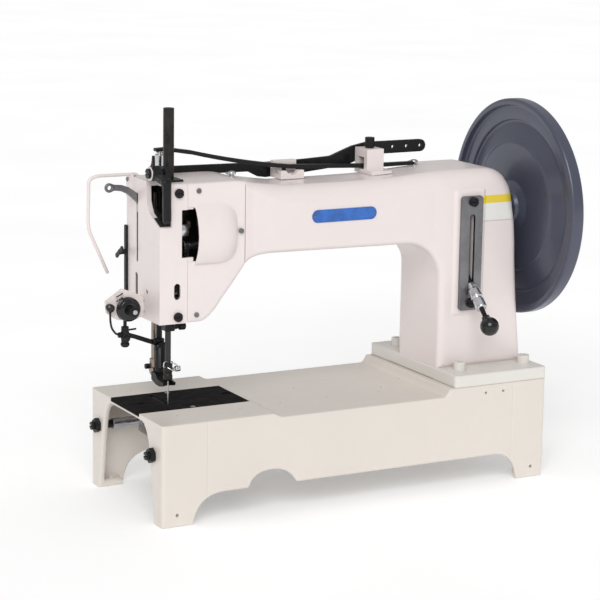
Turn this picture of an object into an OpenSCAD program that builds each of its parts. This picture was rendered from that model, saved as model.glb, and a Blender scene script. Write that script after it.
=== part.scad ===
// Cylinder-arm style leather sewing machine on a flat bed: cast bed, column and arm,
// handwheel, needle and presser bars, lifting gear, tension unit and stitch lever.
// Millimetres. +X runs along the bed towards the handwheel, +Y away from the operator,
// +Z up, with the origin on the floor under the middle of the bed.

/* [Which piece] */
// Name of the piece to draw, or all of them

/* [Bed] */
// Length of the bed along X
bed_l = 720; // [500:1:900]
// Depth of the bed along Y
bed_w = 286; // [200:1:360]
// Height of the low middle deck
deck_z = 159; // [120:1:220]
// Height of the raised needle plate area
plate_z = 166; // [125:1:230]
// Height of the pad that the column stands on
pad_z = 172; // [125:1:240]
// Height of the long lower edge of the skirt
skirt_z = 48; // [30:1:80]
// Thickness of the bed walls and deck
bed_wall = 10; // [6:0.5:16]
// Radius of the hold-down holes in the feet
foot_hole_r = 5.5; // [3:0.25:8]

/* [Column and arm] */
// Left side of the column and of its flange
col_x0 = 180; // [150:1:220]
// Right side of the column near its foot
col_x1 = 350; // [300:1:380]
// Height of the top of the flange
flange_z = 193; // [180:1:220]
// Front face of column and arm
front_y = -80; // [-110:1:-60]
// Back face of the column
col_y1 = 79; // [60:1:110]
// Back face of arm and head
arm_y1 = 47; // [30:1:70]
// Underside of the arm
arm_z0 = 410; // [360:1:450]
// Top of the arm
arm_z1 = 520; // [480:1:560]
// Top of the column
col_z1 = 528; // [490:1:570]
// Top of the head
head_z1 = 535; // [500:1:580]
// Underside of the head
head_z0 = 313; // [280:1:350]
// Left face of the head
head_x0 = -337; // [-370:1:-300]
// Seam between the head end and the arm
seam_x = -284.5; // [-310:0.5:-250]
// Right edge of the panel over the crank
panel_x1 = -188.3; // [-210:0.1:-150]
// Wall thickness of the hollow castings
cast_wall = 9; // [6:0.5:16]

/* [Main shaft and handwheel] */
// Depth position of the main shaft and needle line
shaft_y = -20; // [-40:1:10]
// Height of the main shaft
shaft_z = 452; // [420:1:490]
// Radius of the main shaft
shaft_r = 12; // [8:0.5:18]
// Outer radius of the handwheel
wheel_r = 186; // [120:1:220]
// Left face of the handwheel rim
wheel_x = 357; // [350:1:380]
// Width of the handwheel rim
wheel_w = 24; // [14:1:40]
// Radial clearance of every running fit
run_gap = 0.05; // [0.02:0.01:0.1]

/* [Bars and needle] */
// Position of the needle and presser bars along X
bar_x = -294.5; // [-310:0.5:-270]
// Radius of each bar
bar_r = 4.8; // [3:0.1:8]
// Depth position of the presser bar
presser_y = 14; // [5:1:25]
// Depth position of the vibrating bar
vibrating_y = 34; // [25:1:40]
// Height of the needle tip at the bottom of its stroke
needle_tip_z = 150; // [140:1:165]
// Crank throw, half of the needle stroke
crank_throw = 26; // [15:1:35]

/* [Lifting gear] */
// Pivot of the hand lifter along Y
lifter_y = -44; // [-60:1:-30]
// Pivot of the hand lifter in height
lifter_z = 549; // [545:1:560]
// Pivot of the lifting lever along X
lever_pivot_x = -65; // [-90:1:-40]
// Thickness of the lifting lever plate
lever_t = 6; // [3:0.5:10]

/* [Stitch lever] */
// Pivot of the stitch lever in height
stitch_z = 399; // [380:1:420]
// Pivot of the stitch lever in depth
stitch_y = -26; // [-40:1:0]
// Angle of the stitch lever below level
stitch_drop = 45; // [0:1:46]
// Radius of the ball knob
knob_r = 16; // [10:0.5:22]

/* [Hidden] */
$fn = 64;
far = 2000;
bx = bed_l / 2;
by = bed_w / 2;

cream = [0.88, 0.85, 0.81];
white = [0.90, 0.87, 0.86];
black = [0.08, 0.08, 0.09];
steel = [0.72, 0.72, 0.74];
grey = [0.45, 0.45, 0.46];
wheel_grey = [0.20, 0.22, 0.26];

// ---- shared shapes -------------------------------------------------------

function arc(cx, cy, r, a0, a1, n = 10) =
    [for (i = [0:n]) let (a = a0 + (a1 - a0) * i / n) [cx + r * cos(a), cy + r * sin(a)]];
function curve(a, b, c, n = 8) =
    [for (i = [0:n]) let (t = i / n) (1 - t) * (1 - t) * a + 2 * t * (1 - t) * b + t * t * c];

module along_y(y0, y1) {
    translate([0, y1, 0]) rotate([90, 0, 0]) linear_extrude(y1 - y0) children();
}
module along_x(x0, x1) {
    translate([x0, 0, 0]) rotate([90, 0, 90]) linear_extrude(x1 - x0) children();
}
module block(a, b) {
    translate(a) cube(b - a);
}
module rod_x(x0, x1, y, z, r, r2 = undef) {
    translate([x0, y, z]) rotate([0, 90, 0])
        cylinder(h = x1 - x0, r1 = r, r2 = is_undef(r2) ? r : r2);
}
module rod_y(y0, y1, x, z, r) {
    translate([x, y1, z]) rotate([90, 0, 0]) cylinder(h = y1 - y0, r = r);
}
module rod_z(z0, z1, x, y, r, r2 = undef) {
    translate([x, y, z0]) cylinder(h = z1 - z0, r1 = r, r2 = is_undef(r2) ? r : r2);
}
module plan_box(x0, x1, y0, y1, z0, z1, r) {
    translate([0, 0, z0]) linear_extrude(z1 - z0) round_rect(x0, x1, y0, y1, r);
}
// Rectangle with round corners, drawn from discs and bars so that every arc stays an arc
module round_rect(x0, x1, y0, y1, r) {
    translate([x0 + r, y0]) square([x1 - x0 - 2 * r, y1 - y0]);
    translate([x0, y0 + r]) square([x1 - x0, y1 - y0 - 2 * r]);
    for (x = [x0 + r, x1 - r], y = [y0 + r, y1 - r]) translate([x, y]) circle(r);
}
// Flat bar between two points of a plane, with round ends
module strap(a, b, w) {
    d = b - a;
    translate(a) rotate(atan2(d[1], d[0])) {
        translate([0, -w / 2]) square([norm(d), w]);
        circle(w / 2);
        translate([norm(d), 0]) circle(w / 2);
    }
}

// ---- bed -----------------------------------------------------------------

ramp_x = -160;
pad_x = 167;
leg_z = skirt_z + 26;
foot_in = 55;
recess_x0 = -361;
recess_x1 = -162;
recess_y0 = -53;
recess_y1 = 64;
plate_t = 6;
race_y = shaft_y;
race_z = 108;
rock_yz = [[-108, 112], [112, 108]];
lug_xs = [-166, 150];
foot_xy = [[-bx + 26, -by + 20], [-bx + 26, by - 20], [bx - 26, -by + 20], [bx - 26, by - 20]];

module bed_outline() {
    polygon(concat(
        [[-bx, 0], [-bx + foot_in, 0]],
        curve([-bx + foot_in, 0], [-bx + 60, skirt_z - 3], [-bx + 107, skirt_z]),
        curve([-207, skirt_z], [-201, leg_z], [-165, leg_z]),
        curve([-165, leg_z], [-134, leg_z], [-121, skirt_z]),
        curve([bx - 98, skirt_z], [bx - 60, skirt_z - 2], [bx - 54, 0]),
        [[bx - 4, 0], [bx, 60], [bx, pad_z], [pad_x, pad_z], [pad_x - 7, deck_z],
            [ramp_x + 12, deck_z], [ramp_x, plate_z], [-bx, plate_z]]));
}
module end_opening() {
    polygon(concat([[-111, -1], [111, -1], [94, 102]],
        curve([94, 102], [86, 152], [62, 156], 6),
        curve([-62, 156], [-86, 152], [-94, 102], 6)));
}
module bed_casting() color(cream) difference() {
    union() {
        difference() {
            intersection() {
                along_y(-by, by) bed_outline();
                plan_box(-bx, bx, -by, by, -1, pad_z + 1, 7);
            }
            plan_box(-bx + bed_wall, bx - bed_wall, -by + bed_wall, by - bed_wall,
                -1, deck_z - bed_wall, 6);
            along_x(-bx - 1, -bx + bed_wall + 1) end_opening();
            along_x(bx - bed_wall - 1, bx + 1) end_opening();
        }
        // feet, and the lugs that carry the shuttle shaft
        for (p = foot_xy) plan_box(p[0] - 18, p[0] + 18, p[1] - 13, p[1] + 13, 0, 12, 6);
        for (x = lug_xs) along_x(x, x + 16) {
            translate([race_y - 16, race_z]) square([32, deck_z - bed_wall - race_z + 1]);
            translate([race_y, race_z]) circle(16);
        }
    }
    // seat and window for the needle and slide plates
    block([recess_x0, recess_y0, plate_z - plate_t], [recess_x1, recess_y1, plate_z + 1]);
    block([-bx + bed_wall + 2, recess_y0 + 6, deck_z - bed_wall - 2],
        [recess_x1 - 8, recess_y1 - 6, plate_z]);
    // opening under the column for the drive to the lower shafts
    plan_box(215, 310, -48, 48, deck_z - bed_wall - 1, pad_z + 1, 8);
    for (p = foot_xy) rod_z(-1, 13, p[0], p[1], foot_hole_r);
    for (x = [-bx + 26, bx - 26]) rod_y(-by - 1, -by + bed_wall + 1, x, 19, 3);
    for (x = lug_xs) rod_x(x - 1, x + 17, race_y, race_z, 10 + run_gap);
    // tapped seats for the rock shaft centres
    for (p = rock_yz) for (x = [-bx, bx - bed_wall])
        rod_x(x - 1, x + bed_wall + 1, p[0], p[1], 7);
}

// ---- plates --------------------------------------------------------------

plate_cut = [-309, -241.5];
plate_gap = 0.4;
slot_x = bar_x;

module plate_blank(x0, x1) {
    block([x0, recess_y0 + plate_gap, plate_z - plate_t],
        [x1, recess_y1 - plate_gap, plate_z]);
}
module needle_plate() color(black) difference() {
    plate_blank(plate_cut[0] + plate_gap, plate_cut[1]);
    block([slot_x - 3, -12, plate_z - plate_t - 1], [slot_x + 3, 49, plate_z + 1]);
    rod_z(plate_z - plate_t - 1, plate_z + 1, bar_x, shaft_y, 2.5);
    for (p = [[-261, 56], [-261, -44]]) rod_z(plate_z - 3, plate_z + 1, p[0], p[1], 5);
    for (p = [[-261, 56], [-261, -44]])
        rod_z(plate_z - plate_t - 1, plate_z + 1, p[0], p[1], 2.5);
}
module left_slide_plate() color(black)
    difference() {
        plate_blank(recess_x0 + 2.6, plate_cut[0]);
        rod_z(plate_z - 1.5, plate_z + 1, -330, 6, 6);
    }
module right_slide_plate() color(black) difference() {
    plate_blank(plate_cut[1] + plate_gap, recess_x1 - plate_gap);
    rod_z(plate_z - 1.5, plate_z + 1, -175, 10, 7);
}
module plate_screws() color(steel) for (p = [[-261, 56], [-261, -44]]) {
    difference() {
        rod_z(plate_z - 3, plate_z - 0.4, p[0], p[1], 4.9);
        block([p[0] - 6, p[1] - 0.6, plate_z - 1.4], [p[0] + 6, p[1] + 0.6, plate_z + 1]);
    }
    rod_z(plate_z - plate_t + 0.1, plate_z - 2.9, p[0], p[1], 2.4);
}

// ---- hook and feed under the plates --------------------------------------

hook_r = 31;
hook_x = bar_x;

module feed_dog() color(steel) {
    block([slot_x - 2.4, -4, plate_z - 16], [slot_x + 2.4, 40, plate_z - 2]);
    for (i = [0:10]) translate([slot_x, -2 + i * 4, plate_z - 2.01])
        rotate([90, 0, 90]) translate([0, 0, -2.4])
            linear_extrude(4.8) polygon([[-2, 0], [2, 0], [2, 1.8]]);
    block([slot_x - 10, 4, plate_z - 20], [slot_x + 10, 32, plate_z - 15.9]);
}
module shuttle_race() color(white) difference() {
    union() {
        rod_x(hook_x - 15, hook_x + 15, race_y, race_z, hook_r + 9);
        // ears that carry the race on the underside of the bed
        block([hook_x - 8, -92, race_z - 8], [hook_x + 8, race_y - 36, race_z + 8]);
        block([hook_x - 8, race_y + 36, race_z - 8], [hook_x + 8, 78, race_z + 8]);
        block([hook_x - 8, -92, race_z - 8], [hook_x + 8, -78, deck_z - bed_wall]);
        block([hook_x - 8, 62, race_z - 8], [hook_x + 8, 78, deck_z - bed_wall]);
    }
    rod_x(hook_x - 16, hook_x + 11, race_y, race_z, hook_r + 0.3);
    rod_x(hook_x + 10, hook_x + 16, race_y, race_z, 17);
    // needle passage in the top of the race
    block([hook_x - 6, race_y - 9, race_z], [hook_x + 6, race_y + 9, race_z + 60]);
}
module shuttle_hook() color(steel) difference() {
    rod_x(hook_x - 12, hook_x + 6, race_y, race_z, hook_r);
    rod_x(hook_x - 13, hook_x + 3, race_y, race_z, 20.5);
    // gap behind the hook point
    translate([hook_x - 13, race_y, race_z]) rotate([90, 0, 90])
        linear_extrude(20) polygon([[18, 6], [60, 10], [60, 46], [12, 24]]);
}
module bobbin() color(steel) difference() {
    union() {
        rod_x(hook_x - 14, hook_x - 12.4, race_y, race_z, 20);
        rod_x(hook_x + 1.2, hook_x + 2.8, race_y, race_z, 20);
        rod_x(hook_x - 13, hook_x + 2, race_y, race_z, 12);
    }
    rod_x(hook_x - 15, hook_x + 3, race_y, race_z, 4);
}
module shuttle_shaft() color(steel) {
    rod_x(hook_x + 6.2, 168, race_y, race_z, 10);
    rod_x(-182, -172, race_y, race_z, 16);
}
module rock_shaft(p) {
    rod_x(-336, 336, p[0], p[1], 9);
    for (x = [-250, 230]) {
        rod_x(x - 9, x + 9, p[0], p[1], 14);
        block([x - 6, p[0] > 0 ? p[0] - 38 : p[0], p[1] - 6],
            [x + 6, p[0] > 0 ? p[0] : p[0] + 38, p[1] + 6]);
    }
}
module feed_rock_shaft() color(steel) rock_shaft(rock_yz[0]);
module lift_rock_shaft() color(steel) rock_shaft(rock_yz[1]);
module pivot_screws() color(black) for (p = rock_yz) {
    difference() {
        rod_x(-bx - 14, -336.05, p[0], p[1], 6.95);
        block([-bx - 15, p[0] - 8, p[1] - 1], [-bx - 11, p[0] + 8, p[1] + 1]);
    }
    difference() {
        rod_x(336.05, bx - 3, p[0], p[1], 6.95);
        block([bx - 6, p[0] - 8, p[1] - 1], [bx + 1, p[0] + 8, p[1] + 1]);
    }
}
module pivot_lock_nuts() color(black) for (p = rock_yz) difference() {
    translate([-bx - 8, p[0], p[1]]) rotate([0, 90, 0]) cylinder(h = 7.9, r = 12.5, $fn = 6);
    rod_x(-bx - 9, -bx + 1, p[0], p[1], 7);
}

// ---- column, arm and head ------------------------------------------------

top_r = 28;
head_edge_r = 8;
rebate_y = 37.5;
rebate_z = 529;
col_r = 12;
shoulder_r = 50;
gusset_r = 65;
col_top_x = 327;
ramp_a = -204;
ramp_b = -120;

module arm_outline() {
    polygon(concat(
        [[col_x0, flange_z - 4], [col_x1, flange_z - 4], [col_x1, 200], [334, 388]],
        arc(col_top_x - shoulder_r, col_z1 - shoulder_r, shoulder_r, 0, 90, 12),
        [[col_x0 + 20, col_z1], [60, arm_z1], [ramp_b, arm_z1], [ramp_a, head_z1],
            [seam_x, head_z1], [seam_x, head_z0], [-260, head_z0]],
        curve([-260, head_z0], [-220, 326], [-205, 366]),
        curve([-203, 370], [-184, 412], [-136, arm_z0 + 3]),
        arc(col_x0 - gusset_r, arm_z0 - gusset_r, gusset_r, 90, 0, 10)));
}
// Rounded top section of arm and head, as an envelope along X
module top_section(z1, r = top_r) {
    translate([front_y, 200]) square([arm_y1 - front_y, z1 - 200 - r]);
    translate([front_y + r, 200]) square([arm_y1 - front_y - 2 * r, z1 - 200]);
    for (y = [front_y + r, arm_y1 - r]) translate([y, z1 - r]) circle(r);
}
module arm_envelope() {
    along_x(seam_x, ramp_a) top_section(head_z1, head_edge_r);
    along_x(ramp_a, ramp_b) top_section(head_z1);
    along_x(ramp_b, 60) top_section(arm_z1);
    along_x(60, col_x0 + 20) top_section(col_z1 - 3);
    plan_box(col_x0, col_x1 + 1, front_y, col_y1, flange_z - 5, col_z1 + 1, col_r);
    plan_box(60, col_x0 + 40, front_y, arm_y1, arm_z0 - 80, arm_z0 + 40, 1);
}
module arm_casting() color(white) difference() {
    union() {
        intersection() {
            along_y(front_y, col_y1) arm_outline();
            arm_envelope();
        }
        plan_box(177, bx, -by, by, pad_z, flange_z, 7);
        // raised pad behind the stitch lever plate
        plan_box(205, 262, front_y - 3, front_y + 8, 283, 495, 2);
        rod_x(300, 331, shaft_y, shaft_z, 30);
    }
    // hollow column, arm and head
    along_y(front_y + cast_wall, arm_y1 - cast_wall) polygon([
        [-190, arm_z0 + 12], [col_x0 - 10, arm_z0 + 12], [col_x0 + 14, arm_z0 - 10],
        [col_x0 + 14, arm_z1 - 22], [-190, arm_z1 - 22]]);
    along_y(front_y + cast_wall, col_y1 - cast_wall) polygon([
        [col_x0 + 12, flange_z + 1], [col_x1 - 14, flange_z + 1], [col_x1 - 28, 388],
        [col_top_x - 18, 470], [col_top_x - 46, col_z1 - 14], [col_x0 + 12, col_z1 - 14]]);
    plan_box(215, 310, -48, 48, pad_z - 1, flange_z + 2, 8);
    block([seam_x - 1, front_y + cast_wall, arm_z0 - 8],
        [-202, arm_y1 - cast_wall, head_z1 - 26]);
    block([seam_x - 1, front_y + cast_wall, head_z0 + 10],
        [-240, arm_y1 - cast_wall, arm_z0]);
    // opening in the front face behind the crank cover
    block([-278, front_y - 1, 410], [-203, front_y + cast_wall + 1, 506]);
    block([seam_x - 1, front_y - 1, 418], [bulge_x[0], front_y + cast_wall + 1, 494]);
    // step along the back of the head for the lifting lever
    block([seam_x - 1, rebate_y, rebate_z], [ramp_b + 4, far, far]);
    // flat seats of the oil caps, and holes of the three small screws
    for (p = oil_xyz) rod_z(p[2], p[2] + 20, p[0], p[1], 8.5);
    for (p = panel_screw_xz) rod_y(front_y - 1, front_y + 10, p[0], p[1], 2.6);
    // bush seats
    rod_x(-203, -189, shaft_y, shaft_z, 17);
    rod_x(299, 340, shaft_y, shaft_z, 17);
    // stitch lever slot in the front wall
    block([231, front_y - 4, 328], [241, front_y + cast_wall + 1, 455]);
    // bolt seats
    for (p = flange_xy) rod_z(pad_z - 1, flange_z + 1, p[0], p[1], 5.4);
}
flange_xy = [[209, -103], [338, -103], [209, 103], [338, 103]];

module flange_bolts() color(white) for (p = flange_xy) {
    difference() {
        rod_z(flange_z, flange_z + 14, p[0], p[1], 10.5);
        translate([p[0], p[1], flange_z + 7]) cylinder(h = 8, r = 5.5, $fn = 6);
    }
    rod_z(pad_z + 0.1, flange_z + 0.1, p[0], p[1], 5.2);
}

module head_section(inset) {
    y0 = front_y - head_proud + inset;
    y1 = arm_y1 - inset;
    r = max(head_edge_r - inset, 1);
    z1 = head_z1 - inset;
    translate([y0, head_z0 + inset]) square([y1 - y0, z1 - r - head_z0 - inset]);
    translate([y0 + r, head_z0 + inset]) square([y1 - y0 - 2 * r, z1 - head_z0 - inset]);
    for (y = [y0 + r, y1 - r]) translate([y, z1 - r]) circle(r);
}
bar_ys = [shaft_y, presser_y, vibrating_y];
bush_r = 7.2;
lug_x = [-316, -306];
head_proud = 0.8;

module head_shell() color(white) difference() {
    union() {
        intersection() {
            difference() {
                along_x(head_x0, seam_x) head_section(0);
                along_x(head_x0 + cast_wall, seam_x + 1) head_section(cast_wall - 1);
            }
            block([head_x0, -far, 0], [seam_x, far, far]);
        }
        for (y = bar_ys) intersection() {
            rod_z(head_z0 + 2, head_z0 + 22, bar_x, y, bush_r + 2.2);
            block([head_x0, -far, 0], [seam_x, far, far]);
        }
        block([bar_x - 7, shaft_y - 7, head_z1 - 26], [seam_x, shaft_y + 7, head_z1 - 7]);
        block([bar_x - 7, presser_y - 6, head_z1 - 26], [seam_x, vibrating_y + 6, head_z1 - 7]);
    }
    for (y = bar_ys) rod_z(head_z0 - 1, head_z0 + 23, bar_x, y, bush_r);
    rod_z(head_z1 - 27, head_z1 + 1, bar_x, shaft_y, bar_r + 0.4);
    rod_z(head_z1 - 27, head_z1 + 1, bar_x, presser_y, bar_r + run_gap);
    rod_z(head_z1 - 27, head_z1 - 12, bar_x, vibrating_y, bar_r + run_gap);
    block([head_x0 - 1, rebate_y, rebate_z], [seam_x + 1, far, far]);
    // window in the front, slots in the left face
    block([-299, front_y - 4, 418], [seam_x + 1, front_y + 8, 494]);
    along_x(head_x0 - 1, head_x0 + cast_wall + 1)
        strap([6.5, 404], [6.5, 508], 8);
    along_x(head_x0 - 1, head_x0 + cast_wall + 1)
        strap([9, 349], [9, 378], 10);
    rod_x(head_x0 - 1, head_x0 + cast_wall + 1, -31, 358, 4);
    along_y(front_y - 4, front_y + 9) strap([-306.5, 357], [-306.5, 372], 11);
    // cut corner by the hand lifter
    along_x(head_x0 - 1, head_x0 + 20) polygon([[-84, 466], [-68, 473], [-41, 486],
        [-31, 503], [-29, 540], [-84, 540]]);
    for (p = cover_screw_xz) rod_y(front_y - 4, front_y + 9, p[0], p[1], 4);
    // hole of the guard wire, open to the left for its bend
    rod_z(head_z1 - 24, head_z1 + 1, -325, wire_y, wire_r + 0.05);
    block([-335.5, wire_y - wire_r - 0.05, head_z1 - 10],
        [-325, wire_y + wire_r + 0.05, head_z1 + 1]);
    for (p = [[-20, 324], [-20, 342]]) rod_x(head_x0 - 1, head_x0 + cast_wall + 1, p[0], p[1], 2.5);
}
cover_screw_xz = [[-304.5, 521], [-305.5, 324]];

module head_cover_screws() color(black) for (p = cover_screw_xz) difference() {
    union() {
        rod_y(front_y - 4.8, front_y - head_proud, p[0], p[1], 7.5);
        rod_y(front_y - head_proud - 0.1, front_y + 8, p[0], p[1], 3.9);
    }
    block([p[0] - 9, front_y - 6, p[1] - 0.9], [p[0] + 9, front_y - 3.2, p[1] + 0.9]);
}

bulge_r = 77;
bulge_x = [-277, -204];
module crank_cover() color(white) difference() {
    union() {
        block([seam_x + 0.4, front_y - 2.5, 404], [panel_x1, front_y, 506]);
        intersection() {
            rod_x(bulge_x[0], bulge_x[1], shaft_y, shaft_z, bulge_r);
            block([bulge_x[0], -200, 404], [bulge_x[1], front_y, 506]);
        }
    }
    intersection() {
        rod_x(bulge_x[0] - 1, bulge_x[1] - 5, shaft_y, shaft_z, bulge_r - 5);
        block([bulge_x[0] - 1, -200, 415], [bulge_x[1] - 5, front_y + 1, 497]);
    }
    block([seam_x, front_y - 5, 418], [bulge_x[0], front_y + 5, 494]);
    rod_y(front_y - 3, front_y + 1, panel_screw_xz[0][0], panel_screw_xz[0][1], 2.6);
}
// the first screw holds the crank cover, the others sit on the casting itself
panel_screw_xz = [[-196, 455], [-270, 523], [-273, 325]];
panel_screw_y = [front_y - 2.5, front_y, front_y];

module panel_screws() color(black) for (i = [0:2]) {
    x = panel_screw_xz[i][0];
    z = panel_screw_xz[i][1];
    y = panel_screw_y[i];
    difference() {
        rod_y(y - 2.5, y, x, z, 4.2);
        block([x - 5, y - 3.5, z - 0.6], [x + 5, y - 1.5, z + 0.6]);
    }
    rod_y(y - 0.1, front_y + 8, x, z, 2.5);
}

// ---- main shaft group ----------------------------------------------------

crank_x = [-226, -212];
wheel_hub = [346, 383];

module main_shaft() color(steel) rod_x(crank_x[1] - 12, wheel_hub[1], shaft_y, shaft_z, shaft_r);
module bush(x0, x1, flange_x) difference() {
    union() {
        rod_x(x0, x1, shaft_y, shaft_z, 16.98);
        rod_x(flange_x, flange_x + 3, shaft_y, shaft_z, 21);
    }
    rod_x(min(x0, flange_x) - 1, max(x1, flange_x + 3) + 1, shaft_y, shaft_z, shaft_r + run_gap);
}
module left_bush() color(steel) bush(-202, -190, -190);
module right_bush() color(steel) bush(300, 331, 331);
module shaft_collar() color(steel) difference() {
    rod_x(334.5, 345.5, shaft_y, shaft_z, 24);
    rod_x(334, 346, shaft_y, shaft_z, shaft_r + 0.01);
}
module handwheel() color(wheel_grey) translate([wheel_x, shaft_y, shaft_z]) rotate([0, 90, 0])
    rotate_extrude($fn = 160) polygon(concat(
        [[shaft_r + 0.01, -11], [30, -11], [30, -2], [40, 4], [112, 4], [116, 7], [134, 14],
            [150, 14], [150, 9], [173, 9], [175, 0], [wheel_r - 3, 0], [wheel_r, 3]],
        [[wheel_r, wheel_w - 3], [wheel_r - 3, wheel_w], [174, wheel_w], [150, 23],
            [132, 22], [60, 17], [32, 24], [30, 26], [shaft_r + 0.01, 26]]));
module wheel_screw() color(steel) difference() {
    rod_x(wheel_hub[1] + 0.05, wheel_hub[1] + 6, shaft_y, shaft_z, 18);
    block([wheel_hub[1] + 3, shaft_y - 20, shaft_z - 1.5],
        [wheel_hub[1] + 7, shaft_y + 20, shaft_z + 1.5]);
}
module crank_disc() color(steel) difference() {
    union() {
        rod_x(crank_x[0], crank_x[1], shaft_y, shaft_z, 42);
        rod_x(-261, crank_x[0] + 1, shaft_y, shaft_z - crank_throw, 7);
    }
    rod_x(crank_x[1] - 12.05, crank_x[1] + 1, shaft_y, shaft_z, shaft_r + 0.01);
}
module feed_cam() color(steel) difference() {
    rod_x(262, 284, shaft_y + 6, shaft_z, 34);
    rod_x(261, 285, shaft_y, shaft_z, shaft_r + 0.01);
}

// ---- bars, needle and feet -----------------------------------------------

clamp_z = 348;
link_x = [-270.5, -261.5];
bar_foot_z = 209;

module crank_link() color(steel) {
    along_x(link_x[0], link_x[1]) strap([shaft_y, clamp_z], [shaft_y, shaft_z - crank_throw], 20);
}
module needle_bar() color(steel) {
    rod_z(bar_foot_z, 552, bar_x, shaft_y, bar_r);
}
module needle_bar_clamp() color(steel) {
    difference() {
        rod_z(clamp_z - 10, clamp_z + 10, bar_x, shaft_y, 11);
        rod_z(clamp_z - 11, clamp_z + 11, bar_x, shaft_y, bar_r + 0.01);
    }
    rod_x(bar_x + 9, link_x[0] - 0.05, shaft_y, clamp_z, 6);
    // needle holder at the foot of the bar
    difference() {
        rod_z(bar_foot_z - 2, bar_foot_z + 26, bar_x, shaft_y, 7.5);
        rod_z(bar_foot_z - 0.1, bar_foot_z + 27, bar_x, shaft_y, bar_r + 0.01);
        rod_z(bar_foot_z - 3, bar_foot_z, bar_x, shaft_y, 1.4);
    }
    rod_x(bar_x + 6.5, bar_x + 15, shaft_y, bar_foot_z + 16, 2.5);
    rod_x(bar_x + 11, bar_x + 18, shaft_y, bar_foot_z + 16, 4.2);
}
module needle() color(steel) {
    rod_z(needle_tip_z + 8, bar_foot_z - 0.05, bar_x, shaft_y, 1.35);
    rod_z(needle_tip_z, needle_tip_z + 8.01, bar_x, shaft_y, 0.3, 1.35);
}
module tube_post() color(black) difference() {
    rod_z(head_z1 + 3, 648, bar_x, shaft_y, 8.75);
    rod_z(head_z1 + 2, 649, bar_x, shaft_y, bar_r + run_gap);
}
module post_plate() color(black) difference() {
    union() {
        plan_box(lug_x[0], -284.5, lifter_y - 13, shaft_y + 11, head_z1, head_z1 + 3, 3);
        // ear that carries the hand lifter
        along_x(lug_x[0], lug_x[1]) {
            translate([lifter_y - 11, head_z1]) square([22, lifter_z - head_z1]);
            translate([lifter_y, lifter_z]) circle(11);
        }
    }
    rod_z(head_z1 - 1, head_z1 + 4, bar_x, shaft_y, bar_r + 0.4);
    rod_x(lug_x[0] - 1, lug_x[1] + 1, lifter_y, lifter_z, 5.05);
}
module lower_bushes() color(steel) for (y = bar_ys) difference() {
    rod_z(head_z0 - 5, head_z0 + 22, bar_x, y, bush_r - 0.02);
    rod_z(head_z0 - 6, head_z0 + 23, bar_x, y, bar_r + run_gap);
}
module presser_bar() color(steel) rod_z(206, 556, bar_x, presser_y, bar_r);
module presser_cap() color(steel) difference() {
    union() {
        rod_z(head_z1 + 5, 570, bar_x, presser_y, 8);
        rod_z(569.9, 574, bar_x, presser_y, 5.5);
    }
    rod_z(head_z1 + 4, 556.05, bar_x, presser_y, bar_r + 0.01);
}
module presser_foot() color(steel) difference() {
    union() {
        rod_z(204, 252, bar_x, presser_y, 6.9);
        // sole, forked at the front round the needle holder
        along_x(bar_x - 11, bar_x + 11) polygon([[21, 214], [21, 201], [2, 196], [-10, 195.5],
            [-24, 198.5], [-27, 204], [-14, 205.5], [-4, 206], [6, 214]]);
        rod_x(bar_x + 6.5, bar_x + 18, presser_y, 243, 4.5);
    }
    block([bar_x - 8, -40, 190], [bar_x + 8, -10, 215]);
    rod_z(206, 253, bar_x, presser_y, bar_r + 0.01);
}
module vibrating_bar() color(grey) rod_z(217, 512, bar_x, vibrating_y, bar_r);
module vibrating_foot() color(steel) difference() {
    union() {
        rod_z(212, 232, bar_x, vibrating_y, 7.5);
        along_x(bar_x - 6, bar_x + 6) polygon([[24, 202], [38, 206.5], [42, 212], [42, 219],
            [24, 219]]);
        rod_x(bar_x - 11, bar_x - 6.5, vibrating_y, 220, 4.2);
    }
    rod_z(217, 233, bar_x, vibrating_y, bar_r + 0.01);
}

// ---- spring bar, clamp and lifting lever ---------------------------------

spring_w = 12;
clamp_x = 92;

module spring_bar() color(black) along_y(presser_y - spring_w / 2, presser_y + spring_w / 2)
    polygon(concat([[-303, 575], [-284, 575], [-250, 569]],
        curve([-240, 567.5], [-150, 545], [-60, 535.5]),
        [[clamp_x, 529], [178, 529.5], [178, 535], [clamp_x, 535.5]],
        curve([-60, 542], [-150, 552], [-240, 574]),
        [[-284, 581], [-303, 580]]));
module spring_clamp() color(white) difference() {
    union() {
        block([76, -6, arm_z1 + 5], [108, 35, 562]);
        // base, cut to the slope of the arm's top
        intersection() {
            plan_box(74, 114, -28, 36, arm_z1, arm_z1 + 8, 4);
            along_y(-29, 37) polygon([[73, arm_z1 + 1], [115, arm_z1 + 3.4],
                [115, arm_z1 + 9], [73, arm_z1 + 9]]);
        }
    }
    block([75, 4, arm_z1 + 7.9], [109, 25, 548]);
    rod_z(545, 563, clamp_x, presser_y, 5.06);
}
module spring_screw() color(black) {
    rod_z(536, 563.1, clamp_x, presser_y, 5);
    difference() {
        rod_z(563.1, 580, clamp_x, presser_y, 8);
        for (i = [0:15]) rotate_about([clamp_x, presser_y, 0], i * 22.5)
            rod_z(563, 581, clamp_x + 8.4, presser_y, 0.9);
    }
}
module rotate_about(p, a) {
    translate(p) rotate([0, 0, a]) translate(-p) children();
}
module spring_guide() color(white) difference() {
    union() {
        block([-85, -4, arm_z1 + 0.2], [-42, 34, 548]);
    }
    block([-86, 6, arm_z1 + 8], [-41, 24, 549]);
    rod_y(-5, 7, -63.5, 540, 13);
    block([-86, -5, 534], [-41, 7, 549]);
    rod_y(23, 35, lever_pivot_x, 533, 4.02);
}
lever_pivot_z = 533;
lever_y = [38, 38 + lever_t];
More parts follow.
